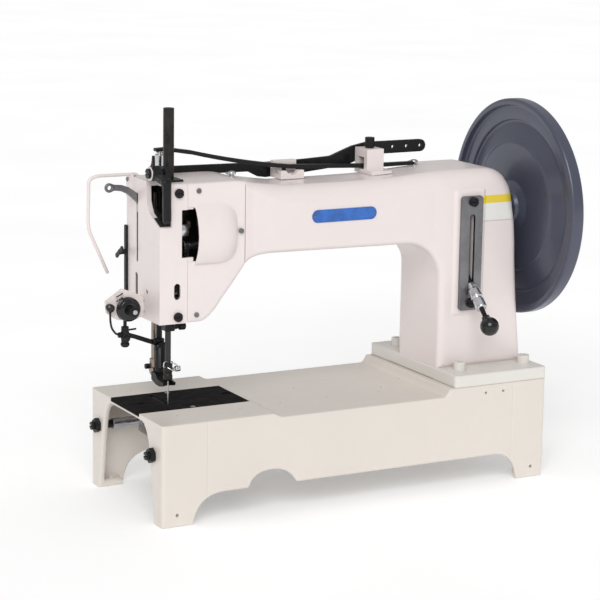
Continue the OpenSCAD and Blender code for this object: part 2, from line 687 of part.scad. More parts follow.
module lifting_lever() color(black) along_y(lever_y[0], lever_y[1]) difference() {
    union() {
        polygon(concat([[-300, 533], [-240, 531.5], [-205, 530.5], [-124, 530], [-106, 521], [-92, 519],
            [-35, 522], [20, 527], [66, 533], [110, 547], [206, 547.5]],
            arc(206, 558, 10.5, -90, 90, 8),
            [[100, 568.5], [72, 563], [30, 548], [-20, 545.5], [-92, 544], [-150, 545],
                [-205, 546], [-300, 546.5]]));
    }
    for (i = [0:2]) translate([206 - 27 * i, 558]) circle(3);
    translate([lever_pivot_x, lever_pivot_z]) circle(6.05);
}
module lever_screw() color(black) difference() {
    union() {
        rod_y(24.5, 34.1, lever_pivot_x, lever_pivot_z, 4);
        rod_y(34, 44.3, lever_pivot_x, lever_pivot_z, 6);
        rod_y(44.2, 48.5, lever_pivot_x, lever_pivot_z, 9);
    }
    block([lever_pivot_x - 10, 47, lever_pivot_z - 1], [lever_pivot_x + 10, 49, lever_pivot_z + 1]);
}

// ---- hand lifter ---------------------------------------------------------

lifter_x = [-338, -320];
lifter_bar_x = [-335, -322];
module hand_lifter() color(black) difference() {
    union() {
        rod_x(lifter_x[0], lifter_x[1], lifter_y, lifter_z, 12.5);
        // thin blade on top, shoulder, and the bar that hangs in front of the head
        along_x(lifter_x[0], lifter_x[0] + 5) polygon([[lifter_y - 8, lifter_z],
            [lifter_y - 12, lifter_z + 17], [lifter_y - 11, lifter_z + 29],
            [lifter_y - 7, lifter_z + 29.5], [lifter_y - 4, lifter_z + 17],
            [lifter_y + 6, lifter_z + 3]]);
        along_x(lifter_bar_x[0], lifter_bar_x[1]) {
            strap([lifter_y - 4, lifter_z - 3], [lifter_y - 42, lifter_z - 8], 12);
            strap([lifter_y - 43, lifter_z - 9], [lifter_y - 44, lifter_z - 69], 10);
        }
    }
    rod_x(lifter_x[0] - 1, lifter_x[1] + 1, lifter_y, lifter_z, 6.05);
}
module lifter_bolt() color(black) difference() {
    union() {
        rod_x(lifter_x[0] - 4.3, lifter_x[0] - 0.3, lifter_y, lifter_z, 8);
        rod_x(lifter_x[0] - 0.4, lug_x[0] - 0.05, lifter_y, lifter_z, 6);
        rod_x(lug_x[0] - 0.06, lug_x[1] + 1, lifter_y, lifter_z, 5);
    }
    block([lifter_x[0] - 5, lifter_y - 9, lifter_z - 1],
        [lifter_x[0] - 2.4, lifter_y + 9, lifter_z + 1]);
}

// ---- guard wire, take-up lever and tension -------------------------------

wire_y = 30;
wire_r = 2.75;
wire_bend = 12;
wire_xz = [[-325, 522], [-325, 538], [-409, 538], [-411.5, 455], [-378, 381]];

function heading(a, b) = atan2(b[1] - a[1], b[0] - a[0]);
function turn(a, b, c) = let (t = heading(b, c) - heading(a, b))
    t > 180 ? t - 360 : t < -180 ? t + 360 : t;
// How much of the straight run each bend takes up, none at the two ends
function cut(p, i) = i == 0 || i == len(p) - 1 ? 0
    : wire_bend * tan(abs(turn(p[i - 1], p[i], p[i + 1])) / 2);

// Round wire bent in a plane: arcs of wire with slightly thinner straight rods between them,
// each rod running a little way into the arcs
module bent_wire(p) {
    for (i = [0:len(p) - 2]) {
        a = max(cut(p, i) - 1, 0);
        b = norm(p[i + 1] - p[i]) - max(cut(p, i + 1) - 1, 0);
        translate(p[i]) rotate([0, 0, heading(p[i], p[i + 1])]) translate([a, 0, 0])
            rotate([0, 90, 0]) cylinder(h = b - a, r = wire_r - 0.1);
    }
    for (i = [1:len(p) - 2]) {
        t = turn(p[i - 1], p[i], p[i + 1]);
        side = t > 0 ? 1 : -1;
        h = heading(p[i - 1], p[i]);
        start = p[i] - cut(p, i) * [cos(h), sin(h)];
        translate(start + side * wire_bend * [-sin(h), cos(h)])
            rotate([0, 0, h - side * 90 + (t > 0 ? 0 : t)])
                rotate_extrude(angle = abs(t)) translate([wire_bend, 0]) circle(wire_r);
    }
}
module guard_wire() color(white) translate([0, wire_y, 0]) rotate([90, 0, 0]) bent_wire(wire_xz);

take_up_xz = [-272, 450];
take_up_y = [4.5, 8.5];
module take_up_lever() color(grey) along_y(take_up_y[0], take_up_y[1]) difference() {
    union() {
        translate(take_up_xz) circle(9);
        strap(take_up_xz, [-337, 503], 12);
        strap([-337, 503], [-376, 519], 10);
        translate([-385, 522]) circle(7.5);
    }
    translate(take_up_xz) circle(4.05);
    translate([-385, 522]) circle(3.6);
}
module take_up_pin() color(steel) {
    rod_y(take_up_y[0] - 1, arm_y1 - cast_wall - 0.05, take_up_xz[0], take_up_xz[1], 4);
    rod_y(take_up_y[0] - 4, take_up_y[0] - 0.9, take_up_xz[0], take_up_xz[1], 7);
    rod_y(take_up_y[1] + 0.6, take_up_y[1] + 8, take_up_xz[0], take_up_xz[1], 7);
}

tension_xz = [-366, 331];
tension_y = -20;
module tension_plate() color(white) {
    difference() {
        along_y(tension_y, tension_y + 5) polygon([[-401, 326], [-403, 345], [-374, 364],
            [-345, 352], [-337.2, 346], [-337.2, 318], [-352, 312], [-384, 314]]);
        rod_y(tension_y - 1, tension_y + 6, tension_xz[0], tension_xz[1], 4.02);
    }
    block([-341, tension_y + 4.9, 318], [-337.05, tension_y + 16, 348]);
    // stud with its collar, and the thread guide post
    rod_y(tension_y - 8, tension_y + 0.01, -398, 336, 5.5);
    rod_y(tension_y + 4.9, tension_y + 9, tension_xz[0], tension_xz[1], 8);
    rod_y(tension_y - 34, tension_y + 5, tension_xz[0], tension_xz[1], 4);
}
module tension_wheel() color(black) difference() {
    translate([tension_xz[0], tension_y - 0.4, tension_xz[1]]) rotate([90, 0, 0])
        rotate_extrude($fn = 72) polygon([[4.05, 0], [18, 0], [19.5, 1.5], [14, 6.5],
            [19.5, 11.5], [18, 13], [10, 14], [4.05, 14]]);
}
module tension_nut() color(steel) difference() {
    rod_y(tension_y - 30, tension_y - 14.8, tension_xz[0], tension_xz[1], 8);
    rod_y(tension_y - 31, tension_y - 14, tension_xz[0], tension_xz[1], 4.05);
    for (i = [0:11]) translate([tension_xz[0] + 8.6 * cos(i * 30), 0, tension_xz[1] + 8.6 * sin(i * 30)])
        rod_y(tension_y - 31, tension_y - 20, 0, 0, 1.2);
}
release_xy = [-363.5, -6];
module release_arm() color(black) {
    difference() {
        union() {
            rod_z(253, 270, bar_x, presser_y, 8.6);
            // arm that drops from the post to the presser bar
            translate([release_xy[0], release_xy[1], 287])
                rotate([0, 0, atan2(presser_y - release_xy[1], bar_x - release_xy[0])])
                    rotate([0, 21, 0]) translate([-2, -4.5, -4]) cube([71, 9, 8]);
            rod_z(272, 300, release_xy[0], release_xy[1], 6.5);
        }
        rod_z(252, 271, bar_x, presser_y, bar_r + 0.01);
    }
    rod_z(299, 312, release_xy[0], release_xy[1], 3);
}

// ---- stitch lever --------------------------------------------------------

quad_y = [front_y - 9, front_y - 3];
quad_screw_xz = [[236, 476.5], [236, 303.5]];
module quadrant_plate() color(grey) difference() {
    along_y(quad_y[0], quad_y[1]) round_rect(214, 256, 291, 486, 6);
    along_y(quad_y[0] - 1, quad_y[1] + 1) strap([236, 333], [236, 450], 10);
    for (p = quad_screw_xz) rod_y(quad_y[0] - 1, quad_y[1] + 1, p[0], p[1], 3.5);
}
module quadrant_screws() color(black) for (p = quad_screw_xz) difference() {
    union() {
        rod_y(quad_y[0] - 5, quad_y[0], p[0], p[1], 8);
        rod_y(quad_y[0] - 0.1, quad_y[1], p[0], p[1], 3.4);
    }
    block([p[0] - 9, quad_y[0] - 6, p[1] - 1], [p[0] + 9, quad_y[0] - 3, p[1] + 1]);
}
module lever_frame() {
    translate([236, stitch_y, stitch_z]) rotate([90 + stitch_drop, 0, 0]) children();
}
lever_len = 175;
module stitch_lever() color(steel) lever_frame() {
    cylinder(h = lever_len - knob_r + 2, r = 4);
    translate([0, 0, 100]) cylinder(h = 3, r1 = 8.6, r2 = 10.5);
    translate([0, 0, 103]) cylinder(h = 15, r = 10.5);
    translate([0, 0, 117]) cylinder(h = 4, r = 8);
    translate([0, 0, 120]) cylinder(h = 20, r = 10);
    rotate([0, 90, 0]) translate([0, 0, -9]) cylinder(h = 18, r = 10);
}
module ball_knob() color(black) lever_frame() difference() {
    union() {
        translate([0, 0, lever_len]) sphere(knob_r);
        translate([0, 0, lever_len - knob_r - 2]) cylinder(h = 6, r = 8);
    }
    translate([0, 0, lever_len - knob_r - 3]) cylinder(h = 5, r = 4.01);
}

// ---- small fittings: oil caps, blank badge plate --------------------------

oil_xyz = [[-180, -14, 529], [188, 28, 524]];
module fittings() {
    color(steel) for (p = oil_xyz) {
        rod_z(p[2] + 0.05, p[2] + 6, p[0], p[1], 7);
        rod_z(p[2] + 5.9, p[2] + 12, p[0], p[1], 5.5);
    }
    color([0.2, 0.35, 0.7]) along_y(front_y - 1.2, front_y) round_rect(-66, 54, 456, 481, 12);
}

bed_casting();
arm_casting();
head_shell();
crank_cover();
head_cover_screws();
panel_screws();
needle_plate();
left_slide_plate();
right_slide_plate();
plate_screws();
feed_dog();
shuttle_race();
shuttle_hook();
bobbin();
shuttle_shaft();
feed_rock_shaft();
lift_rock_shaft();
pivot_screws();
pivot_lock_nuts();
main_shaft();
left_bush();
right_bush();
shaft_collar();
handwheel();
wheel_screw();
crank_disc();
feed_cam();
crank_link();
needle_bar();
needle_bar_clamp();
needle();
tube_post();
post_plate();
lower_bushes();
presser_bar();
presser_cap();
presser_foot();
vibrating_bar();
vibrating_foot();
spring_bar();
spring_clamp();
spring_guide();
spring_screw();
lifting_lever();
lever_screw();
hand_lifter();
lifter_bolt();
guard_wire();
take_up_lever();
take_up_pin();
tension_plate();
tension_wheel();
tension_nut();
release_arm();
quadrant_plate();
quadrant_screws();
stitch_lever();
ball_knob();
fittings();
flange_bolts();
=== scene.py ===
from math import cos, hypot, pi, radians, sin

import bmesh
import bpy
import numpy as np
from mathutils import Matrix, Vector


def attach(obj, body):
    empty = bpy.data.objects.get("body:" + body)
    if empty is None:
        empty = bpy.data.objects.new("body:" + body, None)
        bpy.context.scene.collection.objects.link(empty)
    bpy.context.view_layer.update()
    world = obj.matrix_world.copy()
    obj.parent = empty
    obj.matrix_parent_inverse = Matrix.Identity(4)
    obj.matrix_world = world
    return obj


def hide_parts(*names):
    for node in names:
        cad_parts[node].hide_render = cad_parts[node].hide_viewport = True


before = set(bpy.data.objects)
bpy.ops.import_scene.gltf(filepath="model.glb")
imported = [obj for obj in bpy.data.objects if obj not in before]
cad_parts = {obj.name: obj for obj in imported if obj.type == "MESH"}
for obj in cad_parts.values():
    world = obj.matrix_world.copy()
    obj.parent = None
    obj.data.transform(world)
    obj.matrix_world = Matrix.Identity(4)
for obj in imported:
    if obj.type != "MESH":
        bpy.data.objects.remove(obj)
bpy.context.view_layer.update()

scene = bpy.context.scene
MM = 0.001

# ---- main dimensions, in millimetres, as in the CAD ----

BED_X, BED_Y = 360.0, 143.0
DECK_Z, PLATE_Z, PAD_Z, FLANGE_Z = 159.0, 166.0, 172.0, 193.0
SKIRT_Z, WALL = 48.0, 10.0
COL_X0, COL_X1, COL_Y1, COL_Z1 = 180.0, 350.0, 79.0, 528.0
FRONT_Y, ARM_Y1 = -80.0, 47.0
ARM_Z0, ARM_Z1 = 410.0, 520.0
HEAD_Z0, HEAD_Z1, SEAM_X = 313.0, 535.0, -284.5
SHAFT_Y, SHAFT_Z = -20.0, 452.0
WHEEL_R, WHEEL_X, WHEEL_W = 186.0, 357.0, 24.0
BAR_X, PRESSER_Y, VIBRATING_Y = -294.5, 14.0, 34.0
REBATE_Y, REBATE_Z = 37.5, 529.0
COVER_SCREW = (-196.0, 455.0)
CAP_SEATS = [(-180.0, -14.0, 529.0), (188.0, 28.0, 524.0)]
LABEL = ((260.0, 324.0), (440.0, 484.0))
LABEL_BAND_Z = 471.0
BADGE = (-66.0, 54.0, 458.0, 479.0)
FLOOR_GLOW, SUN_STRENGTH, SKY_LOW, SKY_HIGH = 0.25, 1.61, 0.44, 0.56
CAMERA_AT = (-1.7012, -3.0783, 1.0262)
CAMERA_ANGLES = (-28.3, 11.5, 0.9)  # azimuth, elevation and roll in degrees
CAMERA_LENS = 128.42


# ---- shader helpers ----

def add_node(tree, kind, inputs=None, **settings):
    """Adds a node; inputs gives its sockets values, or other nodes' sockets to link."""
    made = tree.nodes.new(kind)
    for key, value in settings.items():
        setattr(made, key, value)
    for key, value in (inputs or {}).items():
        if isinstance(value, bpy.types.NodeSocket):
            tree.links.new(value, made.inputs[key])
        else:
            made.inputs[key].default_value = value
    return made


class Shader:
    """A Principled material whose inputs are fed by small node groups in object space."""

    def __init__(self, name):
        self.material = bpy.data.materials.new(name)
        self.material.use_nodes = True
        self.tree = self.material.node_tree
        self.bsdf = self.tree.nodes["Principled BSDF"]
        self.coords = self.node("ShaderNodeTexCoord").outputs["Object"]

    def node(self, kind, inputs=None, **settings):
        return add_node(self.tree, kind, inputs, **settings)

    def finish(self, colour, rough, normal=None, **values):
        """Feeds the Principled shader and hands over the material."""
        for name, source in (("Base Color", colour), ("Roughness", rough), ("Normal", normal)):
            if source is not None:
                self.tree.links.new(source, self.bsdf.inputs[name])
        for key, value in values.items():
            self.bsdf.inputs[key.replace("_", " ")].default_value = value
        return self.material

    def vector(self, operation, first, second=None):
        made = self.node("ShaderNodeVectorMath", {0: first}, operation=operation)
        if second is not None:
            made.inputs[1].default_value = second
        return made.outputs["Value" if operation == "LENGTH" else "Vector"]

    def split(self, vector):
        return self.node("ShaderNodeSeparateXYZ", {"Vector": vector}).outputs

    def noise(self, scale, detail=3.0, rough=0.55, vector=None):
        inputs = {"Scale": scale, "Detail": detail, "Roughness": rough, "Vector": vector or self.coords}
        return self.node("ShaderNodeTexNoise", inputs).outputs["Fac"]

    def ramp(self, value, low, high, low_at=0.35, high_at=0.65):
        inputs = {"Value": value, "From Min": low_at, "From Max": high_at, "To Min": low, "To Max": high}
        return self.node("ShaderNodeMapRange", inputs).outputs["Result"]

    def mix(self, value, first, second, low_at=0.35, high_at=0.65):
        factor = self.ramp(value, 0.0, 1.0, low_at, high_at)
        made = self.node("ShaderNodeMix", data_type="RGBA")
        sockets = [s for s in made.inputs if s.enabled]
        self.tree.links.new(factor, sockets[0])
        for target, colour in zip(sockets[1:], (first, second)):
            if isinstance(colour, bpy.types.NodeSocket):
                self.tree.links.new(colour, target)
            else:
                target.default_value = (*colour, 1.0)
        return [s for s in made.outputs if s.enabled][0]

    def inside(self, low, high):
        """1 within a box of the object's space, given in millimetres, and 0 outside it."""
        middle, half = ([(b + k * a) / 2 * MM for a, b in zip(low, high)] for k in (1, -1))
        folded = self.vector("ABSOLUTE", self.vector("SUBTRACT", self.coords, middle))
        parts = self.split(self.vector("DIVIDE", folded, half))
        largest = parts["X"]
        for other in ("Y", "Z"):
            largest = self.node("ShaderNodeMath", {0: largest, 1: parts[other]},
                                operation="MAXIMUM").outputs["Value"]
        return self.ramp(largest, 1.0, 0.0, 0.998, 1.0)

    def bump(self, height, strength, distance=0.001, normal=None):
        inputs = {"Strength": strength, "Distance": distance, "Height": height}
        if normal is not None:
            inputs["Normal"] = normal
        return self.node("ShaderNodeBump", inputs).outputs["Normal"]


def shade(colour, factor):
    return tuple(min(1.0, c * factor) for c in colour)


# near-black painted shade for the surfaces inside the hollow castings; the room boxes below say where it is
# painted
HOLLOW_SHADE_COLOUR = (0.030, 0.026, 0.024)
ROOMS = (((-329, -75.5, 319), (-202, 39, 512)), ((190, -69, 188), (199, 55, 509)),
         ((199, -69, 188), (318, 68, 509)))
HEAD_ROOMS = (((-335.0, -77.5, 319), (-284, 44, 480)), ((-329, -73.5, 470), (-284, 40, 527.5)))
PANEL_X = (-288.6, -188.5)
ORANGE_PEEL = 0.05


def paint(name, colour, rough=0.34, rooms=()):
    """Sprayed paint on a casting: slight unevenness of colour, orange peel, a soft coat.

    Within the rooms, which are boxes inside the hollow castings, the colour turns near black: painted shade
    in the hollows.
    """
    s = Shader(name)
    broad = s.noise(6.0, 3.0)
    fine = s.noise(60.0, 2.0)
    tone = s.mix(broad, shade(colour, 0.975), shade(colour, 1.012))
    tone = s.mix(fine, tone, shade(colour, 0.988), 0.45, 0.85)
    # painted shade: inside each room box the paint colour is mixed to near black
    for low, high in rooms:
        tone = s.mix(s.inside(low, high), tone, HOLLOW_SHADE_COLOUR, 0.4, 0.6)
    ripple = s.bump(s.noise(22.0, 2.0), 0.06, 0.002)
    return s.finish(tone, s.ramp(fine, rough - 0.03, rough + 0.05),
                    s.bump(s.noise(380.0, 1.0), ORANGE_PEEL, 0.0003, ripple),
                    Coat_Weight=0.3, Coat_Roughness=0.15)


def oxide(name, colour=(0.006, 0.006, 0.007), rough=0.36, metal=0.1, shine=0.3):
    """Blackened steel: near black, satin, with faint oily patches and rubbed spots."""
    s = Shader(name)
    patches = s.noise(55.0, 4.0, 0.6)
    worn = s.noise(210.0, 5.0, 0.7)
    tone = s.mix(patches, colour, shade(colour, 1.9))
    return s.finish(s.mix(worn, tone, shade(colour, 7.0), 0.68, 0.90),
                    s.ramp(patches, rough - 0.08, rough + 0.12),
                    s.bump(s.noise(900.0, 3.0), 0.10, 0.0003), Metallic=metal, Specular_IOR_Level=shine)


def steel(name, colour=(0.56, 0.56, 0.58), rough=0.24, along=(1.0, 1.0, 18.0), dark_below=None):
    """Ground steel with fine grinding lines along one direction; it can be much darker below a height."""
    s = Shader(name)
    mapping = s.node("ShaderNodeMapping", {"Scale": along, "Vector": s.coords})
    grain = s.noise(160.0, 4.0, 0.6, mapping.outputs["Vector"])
    tone = s.mix(s.noise(30.0, 3.0), colour, shade(colour, 0.78))
    # below dark_below the colour drops to a tenth of the steel colour
    if dark_below is not None:
        tone = s.mix(s.split(s.coords)["Z"], shade(colour, 0.10), tone,
                     (dark_below - 1.0) * MM, (dark_below + 1.0) * MM)
    return s.finish(tone, s.ramp(grain, rough - 0.07, rough + 0.12), s.bump(grain, 0.18, 0.0003),
                    Metallic=1.0)


def enamel(name, colour):
    """Glossy enamel over a turned wheel, with faint rings round the shaft."""
    s = Shader(name)
    offset = s.vector("SUBTRACT", s.coords, (0.0, SHAFT_Y * MM, SHAFT_Z * MM))
    radius = s.vector("LENGTH", s.vector("MULTIPLY", offset, (0.0, 1.0, 1.0)))
    rings = s.node("ShaderNodeTexNoise", {"Scale": 260.0, "Detail": 2.0, "W": radius},
                   noise_dimensions="1D").outputs["Fac"]
    ridges = s.bump(rings, 0.02, 0.0004)
    return s.finish(s.mix(s.noise(9.0, 3.0), colour, shade(colour, 1.18)), s.ramp(rings, 0.33, 0.37),
                    s.bump(s.noise(240.0, 1.0), 0.03, 0.0003, ridges), Metallic=0.1, Coat_Weight=0.45,
                    Coat_Roughness=0.14, Coat_Tint=(0.75, 0.80, 1.0, 1.0))


def plastic(name, colour, rough=0.07):
    """Moulded gloss plastic with a faint flow pattern and fingerprints."""
    s = Shader(name)
    return s.finish(s.mix(s.noise(60.0), colour, shade(colour, 1.5)),
                    s.ramp(s.noise(45.0, 4.0), rough, rough + 0.07), s.bump(s.noise(90.0, 1.0), 0.03, 0.0005))


def banded(name, colour, band, edge_z):
    """A printed blank label: one plain colour, and a plain band above a height."""
    s = Shader(name)
    tint = s.mix(s.noise(40.0), colour, shade(colour, 0.97))
    tone = s.mix(s.split(s.coords)["Z"], tint, band, (edge_z - 0.1) * MM, (edge_z + 0.1) * MM)
    return s.finish(tone, s.ramp(s.noise(90.0), 0.30, 0.40))


def floor_material():
    """Matt white floor that glows a little, so that it stays white right across the view."""
    s = Shader("studio_floor")
    tone = s.mix(s.noise(1.5, 3.0), (0.90, 0.90, 0.90), (0.93, 0.93, 0.93))
    s.tree.links.new(tone, s.bsdf.inputs["Emission Color"])
    return s.finish(tone, None, Roughness=1.0, Specular_IOR_Level=0.0, Emission_Strength=FLOOR_GLOW)


MAT = {
    "arm": paint("warm_white_paint", (0.800, 0.722, 0.705), rooms=ROOMS),
    "head": paint("head_paint", (0.800, 0.722, 0.705), rooms=HEAD_ROOMS),
    "bed": paint("cream_paint", (0.725, 0.670, 0.612), rough=0.38),
    "flange": paint("grey_white_paint", (0.730, 0.700, 0.660), rough=0.38),
    "wheel": enamel("wheel_enamel", (0.064, 0.067, 0.088)),
    "black": oxide("black_oxide"),
    "plates": oxide("plate_black", (0.006, 0.005, 0.005), rough=0.6, metal=0.0, shine=0.03),
    "post": oxide("gunmetal", (0.020, 0.019, 0.018), rough=0.30, metal=0.6),
    "steel": steel("ground_steel"),
    "bar": steel("part_darkened_steel", dark_below=330.0),
    "chrome": steel("bright_plate", (0.72, 0.72, 0.74), rough=0.14),
    "grey": steel("grey_satin", (0.26, 0.26, 0.27), rough=0.36, along=(1.0, 1.0, 6.0)),
    "brown": steel("oiled_steel", (0.36, 0.30, 0.26), rough=0.30),
    "knob": plastic("black_plastic", (0.006, 0.006, 0.007)),
    "badge": plastic("blue_badge", (0.020, 0.100, 0.360), rough=0.22),
    "label": banded("blank_label", (0.80, 0.79, 0.76), (0.78, 0.60, 0.05), LABEL_BAND_Z),
}


# ---- mesh helpers ----

def put(name, data):
    obj = bpy.data.objects.new(name, data)
    scene.collection.objects.link(obj)
    return obj


def place(name, mesh, material, body="frame", nodes=()):
    """A finished mesh becomes a piece that rides on a CAD body and stands for CAD nodes."""
    obj = put(name, mesh)
    mesh.materials.clear()
    mesh.materials.append(MAT[material])
    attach(obj, body)
    if nodes:
        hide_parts(*nodes)
    return obj


def soften(obj, width):
    """Rounds the sharp edges of a piece and keeps its flat faces flat in the light."""
    if width:
        bevel = obj.modifiers.new("edges", "BEVEL")
        bevel.width = width * MM
        bevel.segments = 3
        bevel.limit_method = "ANGLE"
        bevel.angle_limit = radians(32)
        bevel.use_clamp_overlap = True
        bevel.miter_outer = "MITER_ARC"
    obj.modifiers.new("normals", "WEIGHTED_NORMAL").keep_sharp = True
    return obj


def to_mesh(name, bm):
    bmesh.ops.recalc_face_normals(bm, faces=bm.faces)
    mesh = bpy.data.meshes.new(name)
    bm.to_mesh(mesh)
    bm.free()
    mesh.polygons.foreach_set("use_smooth", [True] * len(mesh.polygons))
    return mesh


def refine(node, material, body, width):
    """A CAD node's own shape as clean faces, with small round edges that catch the light."""
    bm = bmesh.new()
    bm.from_mesh(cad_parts[node].data)
    bmesh.ops.remove_doubles(bm, verts=bm.verts, dist=1e-6)
    bmesh.ops.dissolve_limit(bm, angle_limit=radians(0.8), verts=bm.verts, edges=bm.edges)
    return soften(place(node + "_piece", to_mesh(node, bm), material, body, (node,)), width)


def circle(bm, centre, u, v, radius, count):
    """A ring of vertices in the plane of u and v, in millimetres."""
    turns = (2 * pi * i / count for i in range(count))
    return [bm.verts.new((centre + radius * (u * cos(t) + v * sin(t))) * MM) for t in turns]


def lathe(name, origin, axis, profile, material, body="frame", segments=96, nodes=()):
    """Turns a profile of (radius, distance along the axis) points round an axis."""
    axis = Vector(axis).normalized()
    side = axis.orthogonal().normalized()
    other = axis.cross(side)
    bm = bmesh.new()
    rings = []
    for radius, along in profile:
        centre = Vector(origin) + axis * along
        rings.append(circle(bm, centre, side, other, radius, segments if radius else 1))
    for first, second in zip(rings, rings[1:]):
        for i in range(segments):
            j = (i + 1) % segments
            corners = []
            for ring, k in ((first, i), (first, j), (second, j), (second, i)):
                v = ring[k % len(ring)]
                if v not in corners:
                    corners.append(v)
            if len(corners) > 2:
                bm.faces.new(corners)
    for edge in bm.edges:
        if len(edge.link_faces) == 2 and edge.calc_face_angle(0.0) > radians(50):
            edge.smooth = False
    return place(name, to_mesh(name, bm), material, body, nodes)


def turn(name, origin, axis, points, radius, steps, *rest):
    """A turned piece whose profile has rounded corners."""
    return lathe(name, origin, axis, rounded(points, radius, steps), *rest)


def rounded(points, radius, steps=4):
    """A profile or outline with its inner corners rounded off."""
    out = [points[0]]
    for a, b, c in zip(points, points[1:], points[2:]):
        a, b, c = Vector(a), Vector(b), Vector(c)
        cut = min(radius, (b - a).length * 0.45, (c - b).length * 0.45)
        start = b + (a - b).normalized() * cut
        end = b + (c - b).normalized() * cut
        for i in range(steps + 1):
            t = i / steps
            out.append(tuple(start * (1 - t) ** 2 + b * (2 * t * (1 - t)) + end * t ** 2))
    out.append(points[-1])
    return out


def tube(name, points, radius, material, body, sides, bend=0.0, nodes=()):
    """A round wire or rod along points, bent smoothly at its corners, with blunt tips."""
    path = [Vector(p) for p in (rounded(points, bend, 8) if bend else points)]
    bm = bmesh.new()
    rings = []
    up = Vector((0.137, 0.31, 0.941)).normalized()
    for i, p in enumerate(path):
        t = (path[min(i + 1, len(path) - 1)] - path[max(i - 1, 0)]).normalized()
        up = (up - t * up.dot(t)).normalized()
        rings.append(circle(bm, p, up, t.cross(up), radius, sides))
    for first, second in zip(rings, rings[1:]):
        for k in range(sides):
            j = (k + 1) % sides
            bm.faces.new((first[k], first[j], second[j], second[k]))
    for ring, end, before in ((rings[0], path[0], path[1]), (rings[-1], path[-1], path[-2])):
        tip = bm.verts.new((end + (end - before).normalized() * radius * 0.45) * MM)
        for k in range(sides):
            bm.faces.new((ring[k], ring[(k + 1) % sides], tip))
    return place(name, to_mesh(name, bm), material, body, nodes)


# ---- soft solids from distance fields ----

def arc(cx, cy, r, a0, a1, n=12):
    angles = (radians(a0 + (a1 - a0) * i / n) for i in range(n + 1))
    return [(cx + r * cos(a), cy + r * sin(a)) for a in angles]


def curve(a, b, c, n=10):
    return [tuple((1 - t) ** 2 * a[k] + 2 * t * (1 - t) * b[k] + t * t * c[k] for k in (0, 1))
            for t in (i / n for i in range(n + 1))]


def outline_distance(points, u, v):
    """Signed distance to a closed outline on a plane, negative inside."""
    best = np.full(np.broadcast(u, v).shape, 1e9)
    inside = np.zeros(best.shape, bool)
    for (x0, y0), (x1, y1) in zip(points, points[1:] + points[:1]):
        ex, ey = x1 - x0, y1 - y0
        size = ex * ex + ey * ey
        if size < 1e-12:
            continue
        t = np.clip(((u - x0) * ex + (v - y0) * ey) / size, 0, 1)
        best = np.minimum(best, np.hypot(u - x0 - t * ex, v - y0 - t * ey))
        if y0 != y1:
            crosses = ((y0 > v) != (y1 > v)) & (u < (x1 - x0) * (v - y0) / (y1 - y0) + x0)
            inside ^= crosses
    return np.where(inside, -best, best)


def slab(flat, thick, r):
    """Joins an outline distance and a thickness distance with edges rounded by r."""
    return (np.minimum(np.maximum(flat + r, thick + r), 0)
            + np.hypot(np.maximum(flat + r, 0), np.maximum(thick + r, 0)) - r)


def chain(points, u, v):
    """Signed distance on a plane to links that join points of (u, v, radius)."""
    best = 1e9
    for (x0, y0, r0), (x1, y1, r1) in zip(points, points[1:]):
        ex, ey = x1 - x0, y1 - y0
        t = np.clip(((u - x0) * ex + (v - y0) * ey) / (ex * ex + ey * ey), 0, 1)
        best = np.minimum(best, np.hypot(u - x0 - t * ex, v - y0 - t * ey) - r0 - t * (r1 - r0))
    return best


def between(value, low, high):
    return np.maximum(low - value, value - high)


def disc(u, v, at, r):
    return np.hypot(u - at[0], v - at[1]) - r


def rod(u, v, at, r, w, low, high):
    """A round bar along w with square ends."""
    return np.maximum(disc(u, v, at, r), between(w, low, high))


def box_field(x, y, z, low, high, r=0.0):
    q = [np.abs(v - (a + b) / 2) - (b - a) / 2 + r for v, a, b in zip((x, y, z), low, high)]
    outside = np.sqrt(sum(np.maximum(d, 0) ** 2 for d in q))
    return outside + np.minimum(np.maximum(np.maximum(q[0], q[1]), q[2]), 0) - r


def join(a, b, k=0.0):
    if not k:
        return np.minimum(a, b)
    h = np.maximum(k - np.abs(a - b), 0) / k
    return np.minimum(a, b) - h * h * k / 4


def cut(a, b, k=0.0):
    return -join(-a, b, k)


def step(value, low, high):
    t = np.clip((value - low) / (high - low), 0, 1)
    return t * t * (3 - 2 * t)


def ticks(low, high, size, fine=()):
    """Sample places along an axis: every size, and closer round each (place, reach, size)."""
    marks = np.arange(low, high + size, size)
    for at, reach, small in fine:
        marks = marks[np.abs(marks - at) > reach + small / 2]
        marks = np.concatenate([marks, np.arange(at - reach, at + reach + small / 2, small)])
    return np.unique(marks.round(4))


